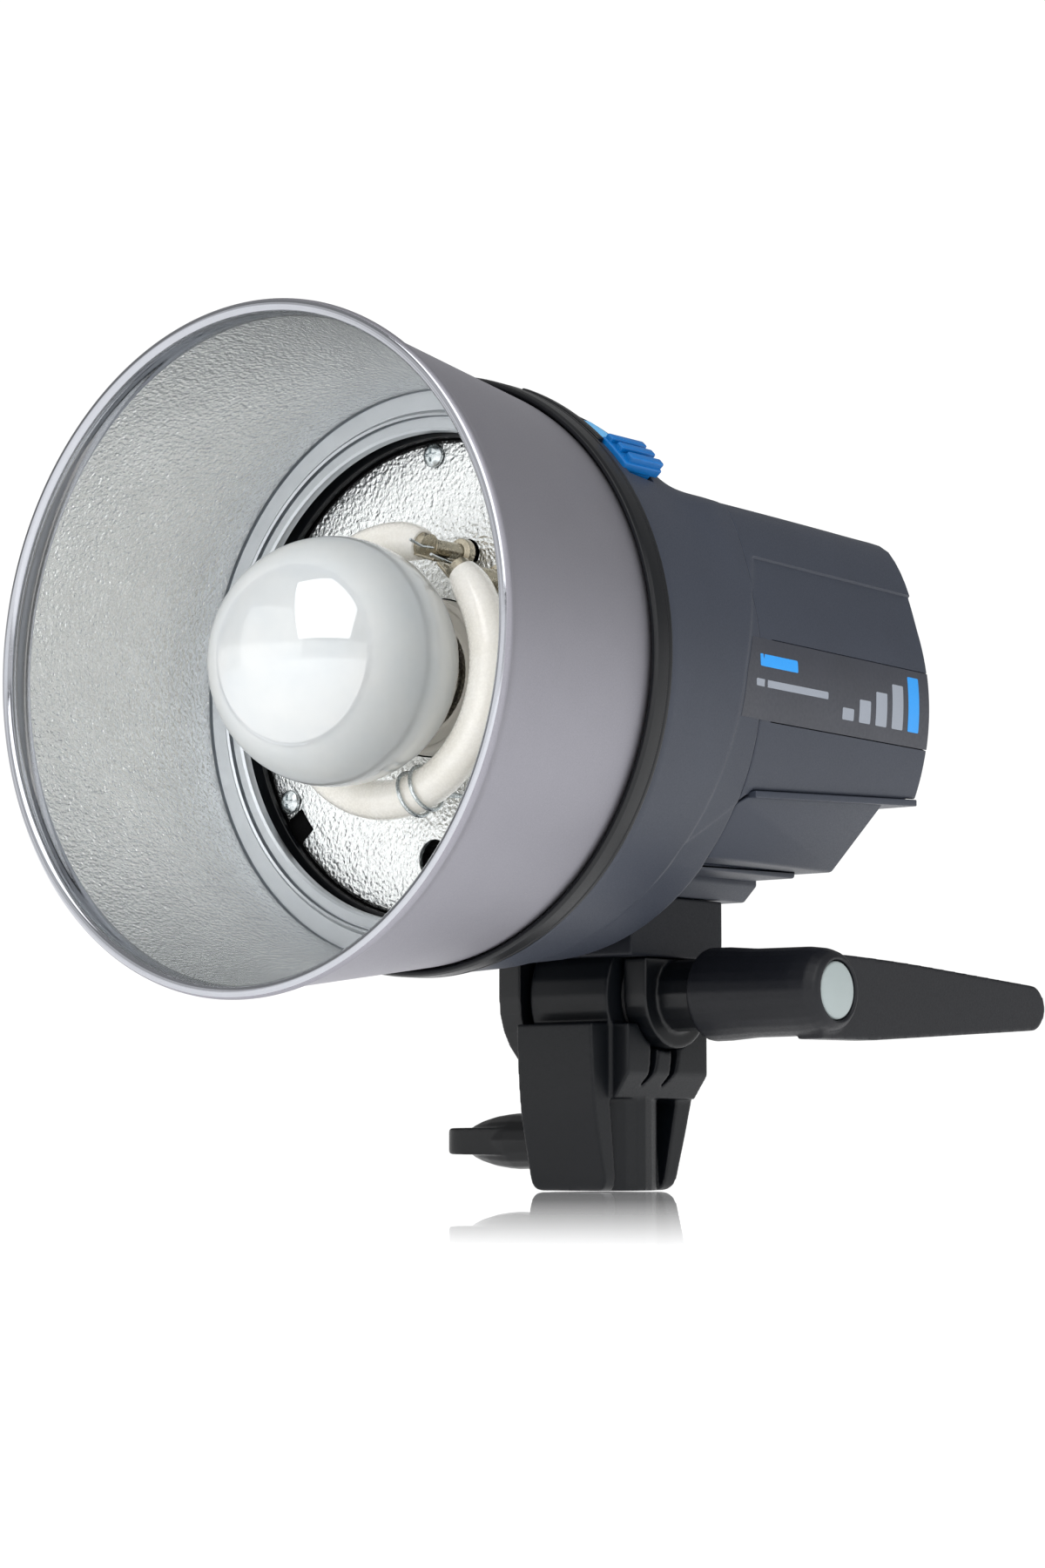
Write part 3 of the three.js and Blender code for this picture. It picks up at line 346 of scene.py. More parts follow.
BRIGHT_LIP = metal("bowl_lip", linear(168, 170, 176), 0.1, depth=0.001, uneven=0.02)
FLANGE_SATIN = metal("bowl_flange", linear(176, 180, 184), 0.36, size=0.5, depth=0.006, uneven=0.03)
OPAL_TUBE = opal_tube("opal_tube")
# A duller, darker black than the other plastics, for the bulkhead: painted shade in the gap where it shows.
GAP_SHADE_BLACK = moulded("gap_shade_black", linear(5, 5, 6), 0.7, 0.5, 0.03, Specular_IOR_Level=0.1)
NICKEL = metal("nickel", linear(176, 168, 150), 0.28)
PRINT_GREY = moulded("print_grey", linear(132, 138, 148), 0.4, 0.5, 0.004)
PRINT_BLUE = moulded("print_blue", linear(20, 138, 216), 0.4, 0.5, 0.004)
TUNGSTEN = metal("tungsten", linear(150, 132, 104), 0.34)


# ---------- mesh helpers ----------
def new_piece(name, verts, faces, materials=(), bands=None):
    mesh = bpy.data.meshes.new(name)
    mesh.from_pydata([Vector(v) * MM for v in verts], [], faces)
    obj = bpy.data.objects.new(name, mesh)
    bpy.context.scene.collection.objects.link(obj)
    for material in materials:
        mesh.materials.append(material)
    if bands:
        mesh.polygons.foreach_set("material_index", bands)
    tidy(obj)
    return obj


def tidy(obj, merge=0.0):
    """Turns all faces outward, after welding vertices closer than merge."""
    bm = bmesh.new()
    bm.from_mesh(obj.data)
    if merge:
        bmesh.ops.remove_doubles(bm, verts=bm.verts, dist=merge * MM)
    bmesh.ops.recalc_face_normals(bm, faces=bm.faces)
    bm.to_mesh(obj.data)
    bm.free()


def shade(obj, degrees=38):
    """Smooth shading, with edges sharper than the angle kept crisp."""
    obj.data.polygons.foreach_set("use_smooth", [True] * len(obj.data.polygons))
    obj.data.set_sharp_from_angle(angle=math.radians(degrees))
    return obj


def bake(obj):
    """Applies the modifiers."""
    graph = bpy.context.evaluated_depsgraph_get()
    made = bpy.data.meshes.new_from_object(obj.evaluated_get(graph))
    old = obj.data
    obj.modifiers.clear()
    obj.data = made
    bpy.data.meshes.remove(old)
    return obj


def carve(obj, *tools):
    """Cuts the tools out of the object and removes them."""
    for tool in tools:
        modifier = obj.modifiers.new("carve", "BOOLEAN")
        modifier.operation = "DIFFERENCE"
        modifier.object = tool
        modifier.solver = "EXACT"
    bake(obj)
    for tool in tools:
        bpy.data.objects.remove(tool)
    return obj


def chamfer(obj, width, segments=3):
    modifier = obj.modifiers.new("edges", "BEVEL")
    modifier.width = width * MM
    modifier.segments = segments
    modifier.limit_method = "ANGLE"
    modifier.angle_limit = math.radians(30)
    return bake(obj)


def joined(name, parts):
    """One object from several, each with its own material."""
    bm = bmesh.new()
    materials = []
    for part in parts:
        first = len(bm.faces)
        index = []
        for material in part.data.materials:
            if material not in materials:
                materials.append(material)
            index.append(materials.index(material))
        bm.from_mesh(part.data)
        bm.faces.ensure_lookup_table()
        for face in bm.faces[first:]:
            face.material_index = index[face.material_index] if index else 0
    mesh = bpy.data.meshes.new(name)
    bm.to_mesh(mesh)
    bm.free()
    for material in materials:
        mesh.materials.append(material)
    for part in parts:
        bpy.data.objects.remove(part)
    obj = bpy.data.objects.new(name, mesh)
    bpy.context.scene.collection.objects.link(obj)
    return obj


def filleted(points, radius, steps=4, closed=True):
    """Rounds the corners of a polyline of (u, v) or (u, v, radius) points."""
    made = []
    count = len(points)
    for i, point in enumerate(points):
        here = Vector(point[:2])
        size = point[2] if len(point) > 2 else radius
        end = not closed and i in (0, count - 1)
        if end or size <= 0:
            made.append(here)
            continue
        before = Vector(points[i - 1][:2]) - here
        after = Vector(points[(i + 1) % count][:2]) - here
        half = before.angle(after, math.pi) / 2
        reach = min(size / max(math.tan(half), 0.05), before.length * 0.47, after.length * 0.47)
        a = here + before.normalized() * reach
        b = here + after.normalized() * reach
        for k in range(steps + 1):
            t = k / steps
            made.append(a * (1 - t) ** 2 + here * 2 * t * (1 - t) + b * t ** 2)
    return made


def lathe(name, profile, sides=96, axis="Y", at=(0, 0, 0), closed=False, materials=(), bands=None):
    """Turns (radius, place) points about an axis through at. Points on the axis become poles.
    bands gives the material index of the strip that starts at each point."""
    verts, rings, faces, tags = [], [], [], []
    for r, a in profile:
        if r < 1e-6:
            rings.append([len(verts)])
            verts.append(on_axis(axis, 0, 0, a, at))
            continue
        rings.append(range(len(verts), len(verts) + sides))
        for k in range(sides):
            t = 2 * math.pi * k / sides
            verts.append(on_axis(axis, r * math.cos(t), r * math.sin(t), a, at))
    pairs = list(zip(range(len(rings) - 1), range(1, len(rings))))
    if closed:
        pairs.append((len(rings) - 1, 0))
    for i, j in pairs:
        p, q = rings[i], rings[j]
        for k in range(sides):
            n = (k + 1) % sides
            if len(p) == 1 and len(q) == 1:
                continue
            if len(p) == 1:
                faces.append((p[0], q[k], q[n]))
            elif len(q) == 1:
                faces.append((p[k], q[0], p[n]))
            else:
                faces.append((p[k], q[k], q[n], p[n]))
            tags.append(bands[i] if bands else 0)
    return shade(new_piece(name, verts, faces, materials, tags))


def on_axis(axis, u, v, a, at):
    """The point a along an axis through at, and (u, v) across it."""
    x, y, z = at
    if axis == "X":
        return (x + a, y + u, z + v)
    if axis == "Y":
        return (x + u, y + a, z + v)
    return (x + u, y + v, z + a)


def offset_outline(points, distance):
    """Moves a closed outline inward by a small distance."""
    area = sum(a.x * b.y - b.x * a.y for a, b in zip(points, points[1:] + points[:1]))
    sign = 1 if area > 0 else -1
    made = []
    for i, here in enumerate(points):
        before = (here - points[i - 1])
        after = (points[(i + 1) % len(points)] - here)
        if before.length < 1e-6 or after.length < 1e-6:
            made.append(here.copy())
            continue
        n1 = Vector((-before.y, before.x)).normalized() * sign
        n2 = Vector((-after.y, after.x)).normalized() * sign
        mean = (n1 + n2).normalized()
        made.append(here + mean * distance / max(0.5, mean.dot(n1)))
    return made


def grid_faces(rows, count, ring=True, loop=False):
    """Quads between rows of vertices. A ring's last column meets its first, a loop's last row its first."""
    faces = []
    for i in range(rows if loop else rows - 1):
        j = (i + 1) % rows
        for k in range(count if ring else count - 1):
            m = (k + 1) % count
            faces.append((i * count + k, i * count + m, j * count + m, j * count + k))
    return faces


def prism(name, outline, d0, d1, axis, radius, edge):
    """An outline about the optical axis swept along an axis, with its corners and end edges rounded."""
    points = filleted(outline, radius)
    steps = 3
    rings = []
    for k in range(steps + 1):
        a = math.pi / 2 * (1 - k / steps)
        rings.append((d0 + edge * (1 - math.sin(a)), edge * (1 - math.cos(a))))
    for k in range(steps + 1):
        a = math.pi / 2 * k / steps
        rings.append((d1 - edge * (1 - math.sin(a)), edge * (1 - math.cos(a))))
    verts = []
    n = len(points)
    for depth, inset in rings:
        for p in offset_outline(points, inset):
            verts.append(on_axis(axis, p.x, p.y, depth, HEAD))
    faces = grid_faces(len(rings), n)
    faces.append(tuple(range(n)))
    faces.append(tuple(range((len(rings) - 1) * n, len(rings) * n)))
    return shade(new_piece(name, verts, faces))


BOX_FACES = [(0, 1, 3, 2), (4, 6, 7, 5), (0, 4, 5, 1), (2, 3, 7, 6), (0, 2, 6, 4), (1, 5, 7, 3)]


def soft_box(name, low, high, edge, materials=()):
    corners = [(x, y, z) for x in (low[0], high[0]) for y in (low[1], high[1]) for z in (low[2], high[2])]
    return shade(chamfer(new_piece(name, corners, BOX_FACES, materials), edge))


def copied(name, node):
    """A new object with a CAD node's shape, welded, for easing or bevelling."""
    source = frame["nodes"][node]
    obj = bpy.data.objects.new(name, source.data.copy())
    obj.data.materials.clear()
    bpy.context.scene.collection.objects.link(obj)
    tidy(obj, merge=0.005)
    return obj


def eased(name, node, voxel=0.35, passes=6):
    """A cast or moulded body: the CAD shape with every edge softened."""
    obj = copied(name, node)
    skin = obj.modifiers.new("skin", "REMESH")
    skin.mode = "VOXEL"
    skin.voxel_size = voxel * MM
    ease = obj.modifiers.new("ease", "SMOOTH")
    ease.factor = 0.5
    ease.iterations = passes
    bake(obj)
    obj.data.polygons.foreach_set("use_smooth", [True] * len(obj.data.polygons))
    return obj


def edged(name, node, width=0.4, segments=2):
    """A machined or pressed body: the CAD shape with bevelled edges."""
    obj = copied(name, node)
    bm = bmesh.new()
    bm.from_mesh(obj.data)
    bmesh.ops.dissolve_limit(bm, angle_limit=math.radians(2), verts=bm.verts, edges=bm.edges)
    bm.to_mesh(obj.data)
    bm.free()
    return shade(chamfer(obj, width, segments))


def tube(name, path, radius, sides, materials):
    """A round wire or pipe along a list of points."""
    points = [Vector(p) for p in path]
    verts = []
    count = len(points)
    up = Vector((0.31, 0.23, 0.92)).normalized()
    for i, here in enumerate(points):
        along = (points[min(i + 1, count - 1)] - points[max(i - 1, 0)]).normalized()
        side = along.cross(up).normalized()
        up = side.cross(along).normalized()
        for k in range(sides):
            t = 2 * math.pi * k / sides
            verts.append(here + (side * math.cos(t) + up * math.sin(t)) * radius)
    faces = grid_faces(count, sides)
    faces.append(tuple(range(sides)))
    faces.append(tuple(range((count - 1) * sides, count * sides)))
    return shade(new_piece(name, verts, faces, materials), 50)


def stands_for(obj, *nodes, material=None):
    """Puts a piece in its CAD node's place: its body and, if it has no material, the finish of the node's
    slot.
    """
    slot = SLOT_OF[nodes[0]]
    if not obj.data.materials:
        obj.data.materials.append(material or FINISH[slot])
    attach(obj, BODY_OF[nodes[0]])
    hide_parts(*nodes)
    return obj


def restyle(maker, name, node, *amounts):
    """A piece that takes its shape from the CAD node it stands for."""
    stands_for(maker(name, node, *amounts), node)


def polar(r, degrees):
    a = math.radians(degrees)
    return r * math.cos(a), r * math.sin(a)


# ---------- reflector ----------
def reflector():
    rim = [(78.4 + 1.6 * math.cos(a), -131.4 - 1.6 * math.sin(a))
           for a in [math.radians(d) for d in range(-35, 216, 12)]]
    # Each section's first value is the index of its material.
    sections = [
        (0, [(70.3, -69.9), (70.6, -71.2), (78.15, -126.6), (78.75, -129.4)]),
        (0, rim[:7]),
        (2, rim[7:]),
        (2, [(76.95, -129.9), (76.75, -129.3), (76.75, -126.7), (76.95, -126.1)]),
        (1, [(76.98, -125.9), (69.35, -72.9)]),
        (3, [(69.3, -72.2), (69.1, -71.3), (68.7, -71.3), (68.5, -71.9), (64.2, -71.9), (63.9, -72.4),
             (63.3, -72.8), (62.8, -72.4), (62.6, -71.3), (62.1, -71.3), (61.9, -72.1), (59.8, -72.3),
             (59.2, -71.9), (59.0, -71.0), (59.0, -69.9)]),
    ]
    profile = [point for _, points in sections for point in points]
    bands = [material for material, points in sections for _ in points]
    materials = (FINISH["reflector_aluminium"], BRIGHT_PEBBLE, BRIGHT_LIP, FLANGE_SATIN)
    obj = lathe("reflector_bowl", profile, 256, at=HEAD, closed=True, materials=materials, bands=bands)
    stands_for(obj, "reflector")


def front_ring():
    profile = filleted([
        (70.7, -70.8), (71.4, -71.6), (72.2, -71.6), (72.6, -70.6), (72.6, -66.9, 0.1), (72.45, -66.7, 0.1),
        (72.45, -66.4, 0.1), (72.6, -66.2, 0.1), (72.6, -65.2), (58.4, -65.2), (58.4, -66.8), (66.2, -66.8),
        (66.2, -69.5), (70.7, -69.5)], 0.3, 3)
    ring = lathe("ring_turning", profile, 256, at=HEAD, closed=True)
    lugs = [arc_block(f"ring_lug_{a}", 64.7, 68, a - 13, a + 13, -69.5, -68.6, 0.25) for a in (30, 150, 270)]
    stands_for(joined("front_ring_moulding", [ring, *lugs]), "front_ring")


def arc_block(name, r0, r1, from_deg, to_deg, y0, y1, edge, cuts=10):
    """A rounded block bent about the optical axis."""
    middle = (r0 + r1) / 2
    half = math.radians(to_deg - from_deg) / 2 * middle
    centre = math.radians((from_deg + to_deg) / 2)
    obj = soft_box(name, (r0, y0, -half), (r1, y1, half), edge)
    bm = bmesh.new()
    bm.from_mesh(obj.data)
    for k in range(1, cuts):
        place = (-half + 2 * half * k / cuts) * MM
        geometry = bm.verts[:] + bm.edges[:] + bm.faces[:]
        bmesh.ops.bisect_plane(bm, geom=geometry, plane_co=(0, 0, place), plane_no=(0, 0, 1))
    for v in bm.verts:
        angle = centre + v.co.z / (middle * MM)
        r = v.co.x
        v.co = (r * math.cos(angle), v.co.y, r * math.sin(angle) + AXIS_Z * MM)
    bm.to_mesh(obj.data)
    bm.free()
    return shade(obj)


def reflector_lock():
    ribs = [arc_block(f"rib_{i}", 71.9, top, mid - 0.85, mid + 0.85, -61.6 + 0.5 * i, -48.2, 0.5, cuts=3)
            for i, (mid, top) in enumerate([(45.9, 74.3), (43.2, 74.5), (40.4, 74.6)])]
    base = arc_block("lock_base", 70.6, 73.0, 39.1, 47, -62, -48, 0.45)
    foot = arc_block("lock_foot", 68, 71.4, 39.4, 46.6, -60, -50, 0.3)
    stands_for(joined("lock_slider_grip", [base, foot, *ribs]), "lock_grip")
    band = arc_block("lock_slider_band", 68, 70.6, 47.3, 59, -60, -50, 0.3, cuts=14)
    stands_for(band, "lock_band")
    lip = arc_block("lock_cover_lip", 70.6, 72.9, 46, 68, -64.85, -62.4, 0.4, cuts=20)
    stands_for(lip, "lock_cover")


# ---------- housing ----------
def ease_between(x, low, high):
    t = min(1.0, max(0.0, (x - low) / (high - low)))
    return t * t * (3 - 2 * t)


def hull_radius(cone_r, angle, y):
    """Distance from the optical axis to the housing's skin: a cone, flattened on top toward the rear."""
    amount = ease_between(y, -48, -28)
    swollen = cone_r * (1 + 0.04 * ease_between(angle, 0.3, 0.7))
    target = swollen
    if angle > 0.3:
        crown = (51 - 12.5 * math.cos(angle) ** 2) / math.sin(angle)
        soft = max(4.0 - abs(swollen - crown), 0.0) / 4.0
        target = min(swollen, crown) - soft * soft
    return cone_r + amount * (target - cone_r)


BELL_FRONT, BELL_REAR = (-64.9, 72.0), (-22.0, 67.3)
BODY_FRONT, BODY_REAR = (-21.7, 67.2), (58.0, 62.5)
SHELL_WALL = 2.6


def taper(y, front, rear):
    """The radius at y on a cone through two (y, radius) ends."""
    return front[1] + (rear[1] - front[1]) * (y - front[0]) / (rear[0] - front[0])


def bell_cone(y):
    return taper(y, BELL_FRONT, BELL_REAR)


def body_cone(y):
    return taper(y, BODY_FRONT, BODY_REAR)


def ledge_z(y):
    return -27 + 0.05 * y


def angle_at(cone, y, z):
    """The angle on the +X side at which the skin passes height z."""
    low, high = -1.2, 1.45
    for _ in range(40):
        middle = (low + high) / 2
        if hull_radius(cone(y), middle, y) * math.sin(middle) < z:
            low = middle
        else:
            high = middle
    return (low + high) / 2


RECESS, RECESS_TOP, RIDGE_WIDTH = 0.6, 29.3, 1.9  # the side panel's depth, top and front ridge
POCKET, POCKET_Y, POCKET_Z = 1.6, -17.0, (-11.5, 8.6)  # the label's pocket
CREASE_Y, CREASE_SLOPE, CREASE_STEP = -18.0, 0.72, 0.35  # the lower edge ahead of the ledge
TRAY_BOTTOM, TRAY_FRONT = -43.4, -21.8


def skin_cone(y):
    """The bell's cone ahead of the seam and the body's behind it."""
    return bell_cone(y) if y < -21.85 else body_cone(y)


def ridge_y(z):
    """Where the round bell gives way to the side panel: further forward lower down."""
    return -31.5 + (0.34 * z + 0.0033 * z * z if z > 0 else 0.165 * z)


def crease_z(y):
    """The body's lower edge: the ledge, and the crease that runs down from its front end."""
    return ledge_z(y) if y > CREASE_Y else ledge_z(CREASE_Y) + CREASE_SLOPE * (y - CREASE_Y)


def panel_depth(y, z):
    """How far the side panel lies below the skin."""
    if z > RECESS_TOP:
        return 0.0
    return RECESS * ease_between(y - ridge_y(z), 0, RIDGE_WIDTH)


def skin_depth(y, z):
    """The same on the upper shell, with the label's pocket."""
    if y > POCKET_Y and POCKET_Z[0] < z < POCKET_Z[1]:
        return POCKET
    return panel_depth(y, z)


def bell_depth(y, z):
    """The same on the bell, a little deeper below the crease."""
    below = CREASE_STEP * ease_between(crease_z(y) - z, 0, 0.9) * ease_between(z, -47, -44)
    depth = panel_depth(y, z)
    return depth + below * depth / RECESS


def upper_shell():
    """The upper body: rows of points along y, each from ledge to ledge over the top."""
    d = 0.14  # half a step's width
    heights = []
    for z in (POCKET_Z[0], POCKET_Z[1], RECESS_TOP):
        heights += [z - 2.2 * d, z - d, z + d, z + 2.2 * d]
    fills = {0: 7, 4: 9, 8: 9}  # how many steps lead up to these heights
    ys = [-21.7, -21.0, -20.4, -19.8, -19.2, -18.6, -18.0, POCKET_Y - 2.2 * d, POCKET_Y - d, POCKET_Y + d,
          POCKET_Y + 2.2 * d]
    ys += [-15 + 6 * k for k in range(12)] + [57.0, 58.0]
    loop = [(y, 0.0) for y in ys]
    loop[0] = (-21.9, -0.4)
    loop.insert(1, (-21.8, -0.14))
    loop.insert(2, (-21.55, 0.0))
    loop[-1] = (58.0, -0.6)
    loop.insert(-1, (57.85, -0.22))
    loop.insert(-2, (57.4, 0.0))
    inner = [(y, -SHELL_WALL) for y in (58.0, 57.0, *range(50, -21, -10), -21.7)]

    def columns(y):
        """(angle, height or None, edge inset) from the right ledge over the top to the left ledge."""
        half = []
        bottom = crease_z(y)
        for rise, inset in ((0.0, 0.5), (0.12, 0.18), (0.45, 0.0), (1.2, 0.0)):
            half.append((angle_at(body_cone, y, bottom + rise), bottom + rise, inset))
        stops = [bottom + 1.2] + heights
        for i, z in enumerate(heights):
            n = fills.get(i, 1)
            for k in range(1, n):
                between = stops[i] + (z - stops[i]) * k / n
                half.append((angle_at(body_cone, y, between), between, 0.0))
            half.append((angle_at(body_cone, y, z), z, 0.0))
        start = half[-1][0]
        for k in range(1, 22):
            half.append((start + (math.pi / 2 - start) * k / 21, None, 0.0))
        left = [(math.pi - a, z, i) for a, z, i in reversed(half[:-1])]
        return half + left

    verts, rows = [], []
    for index, (y, extra) in enumerate(loop + inner):
        row = []
        for angle, z, inset in columns(y):
            flat = angle if angle < math.pi / 2 else math.pi - angle
            r = hull_radius(body_cone(y), flat, y)
            if index < len(loop):
                r += extra - inset - (skin_depth(y, z) if z is not None else 0.0)
            else:
                r += extra
            row.append(len(verts))
            verts.append((r * math.cos(angle), y, r * math.sin(angle) + AXIS_Z))
        rows.append(row)
    faces = grid_faces(len(rows), len(rows[0]), ring=False, loop=True)
    for k in (0, -1):
        outer = [rows[i][k] for i in range(len(loop))]
        under = [rows[i][k] for i in range(len(loop), len(rows))][::-1]
        faces += strip(outer, under)
    shell = shade(new_piece("upper_shell", verts, faces), 30)
    bosses = [lathe(f"boss_{side}", filleted([(1.7, 47.5), (6, 47.5), (6, 54.2), (1.7, 54.2)], 0.3, 2), 32,
                    at=(45.5 * side, 0, AXIS_Z + 35), closed=True) for side in (-1, 1)]
    stands_for(joined("housing_upper", [shell, *bosses]), "upper_body")


def strip(a, b):
    """Faces between two chains of vertices that run the same way but have different counts."""
    faces, j = [], 0
    for i in range(len(a) - 1):
        target = round((i + 1) * (len(b) - 1) / (len(a) - 1))
        while j < target:
            faces.append((a[i], b[j], b[j + 1]))
            j += 1
        faces.append((a[i], a[i + 1], b[j]))
    return faces


def bell_shell():
    """The round bell with the slot for the lock, and the wall at its rear."""
    sides = 600
    loop = [(-64.9, -0.6), (-64.75, -0.22), (-64.3, 0.0), (-62, 0), (-58, 0), (-53, 0), (-48, 0), (-44, 0)]
    loop += [(-41.5 + 0.6 * k, 0) for k in range(32)]
    loop += [(-22.35, -0.03), (-22.1, -0.2), (-21.98, -0.5)]
    loop += [(y, -SHELL_WALL) for y in (-21.98, -30, -40, -52, -64.9)]
    verts = []
    for y, extra in loop:
        outside = extra > -SHELL_WALL
        for k in range(sides):
            t = 2 * math.pi * k / sides
            angle = t if t <= math.pi else t - 2 * math.pi
            flat = angle if abs(angle) <= math.pi / 2 else math.copysign(math.pi - abs(angle), angle)
            r = hull_radius(bell_cone(y), flat, y) + extra
            if outside:
                r -= bell_depth(y, r * math.sin(t))
            verts.append((r * math.cos(t), y, r * math.sin(t) + AXIS_Z))
    shell = new_piece("bell_shell", verts, grid_faces(len(loop), sides, loop=True))
    slot = arc_block("slot_tool", 60, 80, 38, 71, -60.4, -49.6, 0.6, cuts=24)
    shell = shade(carve(shell, slot), 46)
    r = 65.6
    start = math.asin(-29.3 / r)
    turns = [math.pi - start + (math.pi + 2 * start) * k / 48 for k in range(49)]
    outline = [(r * math.cos(a), r * math.sin(a)) for a in turns]
    wall_piece = prism("bell_rear_wall", outline, -24.6, -22.15, "Y", 0, 0.3)
    stands_for(joined("housing_front_bell", [shell, wall_piece]), "front_bell")


def skin_patch(name, side, y0, y1, z0, z1, low, high, material, corner, ridge=0.0):
    """A thin curved film on the body's side, with rounded corners.
    With a ridge distance, its front edge follows the bell's ridge instead of y0."""
    verts, faces = [], []
    curve = [corner * (1 - math.cos(math.pi / 2 * k / 4)) for k in range(5)]
    inner = [y0 + corner + (y1 - y0 - 2 * corner) * k / 24 for k in range(1, 24)]
    ys = [y0 + c for c in curve] + inner + [y1 - c for c in reversed(curve)]
    steps = len(ys) - 1
    rows = 14
    grid = {}
    for layer, depth in enumerate((low, high)):
        for i, station in enumerate(ys):
            short = max(0.0, corner - min(station - y0, y1 - station))
            cut = corner - math.sqrt(max(0.0, corner ** 2 - short ** 2))
            for j in range(rows + 1):
                z = z0 + cut + (z1 - z0 - 2 * cut) * j / rows
                first = ridge_y(z) + ridge if ridge else y0
                y = first + (station - y0) * (y1 - first) / (y1 - y0)
                a = angle_at(skin_cone, y, z)
                r = hull_radius(skin_cone(y), a, y) + depth
                a = a if side > 0 else math.pi - a
                grid[layer, i, j] = len(verts)
                verts.append((r * math.cos(a), y, r * math.sin(a) + AXIS_Z))
    for i in range(steps):
        for j in range(rows):
            for layer in (0, 1):
                faces.append(tuple(grid[layer, i + a, j + b] for a, b in ((0, 0), (1, 0), (1, 1), (0, 1))))
        for j in (0, rows):
            faces.append((grid[0, i, j], grid[0, i + 1, j], grid[1, i + 1, j], grid[1, i, j]))
    for j in range(rows):
        for i in (0, steps):
            faces.append((grid[0, i, j], grid[0, i, j + 1], grid[1, i, j + 1], grid[1, i, j]))
    return shade(new_piece(name, verts, faces, (material,)))


def side_labels():
    """A dark film band with a plain accent stripe and level bars in place of any wording."""
    for side, name in ((-1, "left"), (1, "right")):
        film = skin_patch("film", side, -28, 57.6, -11.36, 8.46, -1.3, -0.55, FINISH["label_film"], 0.15, 2.4)
        prints = [("line", -25, 8, -3.4, -1.6, PRINT_GREY), ("stripe", -23, -6, 1.6, 4.6, PRINT_BLUE)]
        for k in range(5):
            tint = PRINT_BLUE if k == 4 else PRINT_GREY
            prints.append((f"bar{k}", 15 + 8 * k, 20.4 + 8 * k, -7.6, -4.6 + 2.8 * k, tint))
        marks = [skin_patch(f"print_{n}", side, y0, y1, z0, z1, -0.6, -0.52, m, 0.4)
                 for n, y0, y1, z0, z1, m in prints]
        stands_for(joined(f"label_band_{name}", [film, *marks]), f"side_label_{name}")


def tapered(name, corners, edge):
    """A rounded block from eight corners, listed low x to high x, then front to rear, then bottom to top."""
    return shade(chamfer(new_piece(name, corners, BOX_FACES), edge, 4), 30)


def ledge_half(y):
    """Half the housing's width where the ledge meets its skin."""
    return math.sqrt(body_cone(y) ** 2 - ledge_z(y) ** 2)


def lower_housing():
    """The tray under the ledge, with its flange, step and block."""
    def slab(name, drop0, drop1, narrower, edge):
        corners = [(side * (ledge_half(y) - narrower), y, ledge_z(y) - drop + AXIS_Z)
                   for side in (-1, 1) for y in (CREASE_Y + 0.4, 57.2) for drop in (drop1, drop0)]
        return tapered(name, corners, edge)

    def tray_half(y, z):
        return min(50.6 + 0.66 * (z - TRAY_BOTTOM), math.sqrt(body_cone(y) ** 2 - z * z) - 0.9)

    rear_top, rear_bottom = 44, 36.5
    outline = [(TRAY_FRONT, TRAY_BOTTOM), (rear_bottom, TRAY_BOTTOM), (rear_top, ledge_z(rear_top) - 1),
               (CREASE_Y, ledge_z(CREASE_Y) - 1), (TRAY_FRONT, crease_z(TRAY_FRONT) - 0.3)]
    n = len(outline)
    corners = [(side * tray_half(y, z), y, z + AXIS_Z) for side in (-1, 1) for y, z in outline]
    faces = [tuple(range(n)), tuple(range(n, 2 * n))]
    faces += [(i, (i + 1) % n, (i + 1) % n + n, i + n) for i in range(n)]
    tray = shade(chamfer(new_piece("tray_box", corners, faces), 0.8, 4), 30)
    step = prism("tray_step", [(-21.6, -45.0, 0.3), (30, -45.0, 0.9), (30, -43.0, 0.2), (-21.6, -43.0, 0.2)],
                 -39, 39, "X", 0.5, 0.7)
    block = prism("tray_block", [(-25, -43), (25, -43), (25, -46.2, 1.2), (21, -50.2, 1.2), (-21, -50.2, 1.2),
                                 (-25, -46.2, 1.2)], -21.6, 33, "Y", 0.8, 1.0)
    flange = slab("tray_flange", -0.2, 1.5, -0.45, 0.3)
    tongue = slab("tray_tongue", -1.4, 1.0, 3.4, 0.2)
    stands_for(joined("housing_lower", [flange, tongue, tray, step, block]), "lower_tray")


# ---------- base plate, lamp and tube ----------
SCREWS = [polar(54.5, a) for a in (90, 210, 330)]
TUBE_R, TUBE_Y = 31.0, -81.0
GAP_MIDDLE, GAP_HALF = 57.0, 13.0
CLIP_ANGLE = -72.0
ELECTRODES = [polar(TUBE_R, GAP_MIDDLE + s * GAP_HALF) for s in (-1, 1)]


def rod(name, r, y0, y1, x=0.0, z=0.0, sides=32):
    return lathe(name, [(0, y0), (r, y0), (r, y1), (0, y1)], sides, at=(x, 0, AXIS_Z + z))


def base_plate():
    profile = filleted([(0, -65.0), (57.2, -65.0, 0.2), (58.0, -64.6, 0.2), (58.1, -63.8, 0.1), (0, -63.8)],
                       0.2, 3, closed=False)
    disc = lathe("plate", profile, 192, at=HEAD)
    tools = [rod("t", 19.4, -68, -60, sides=64), rod("t", 4.8, -68, -60, 0, -44)]
    tools += [rod("t", 3.6, -68, -60, x, z) for x, z in ELECTRODES]
    tools.append(arc_block("t", 52.5, 62, 213.5, 221, -68, -60, 0.4))
    disc = shade(carve(disc, *tools))
    stands_for(disc, "base_plate")


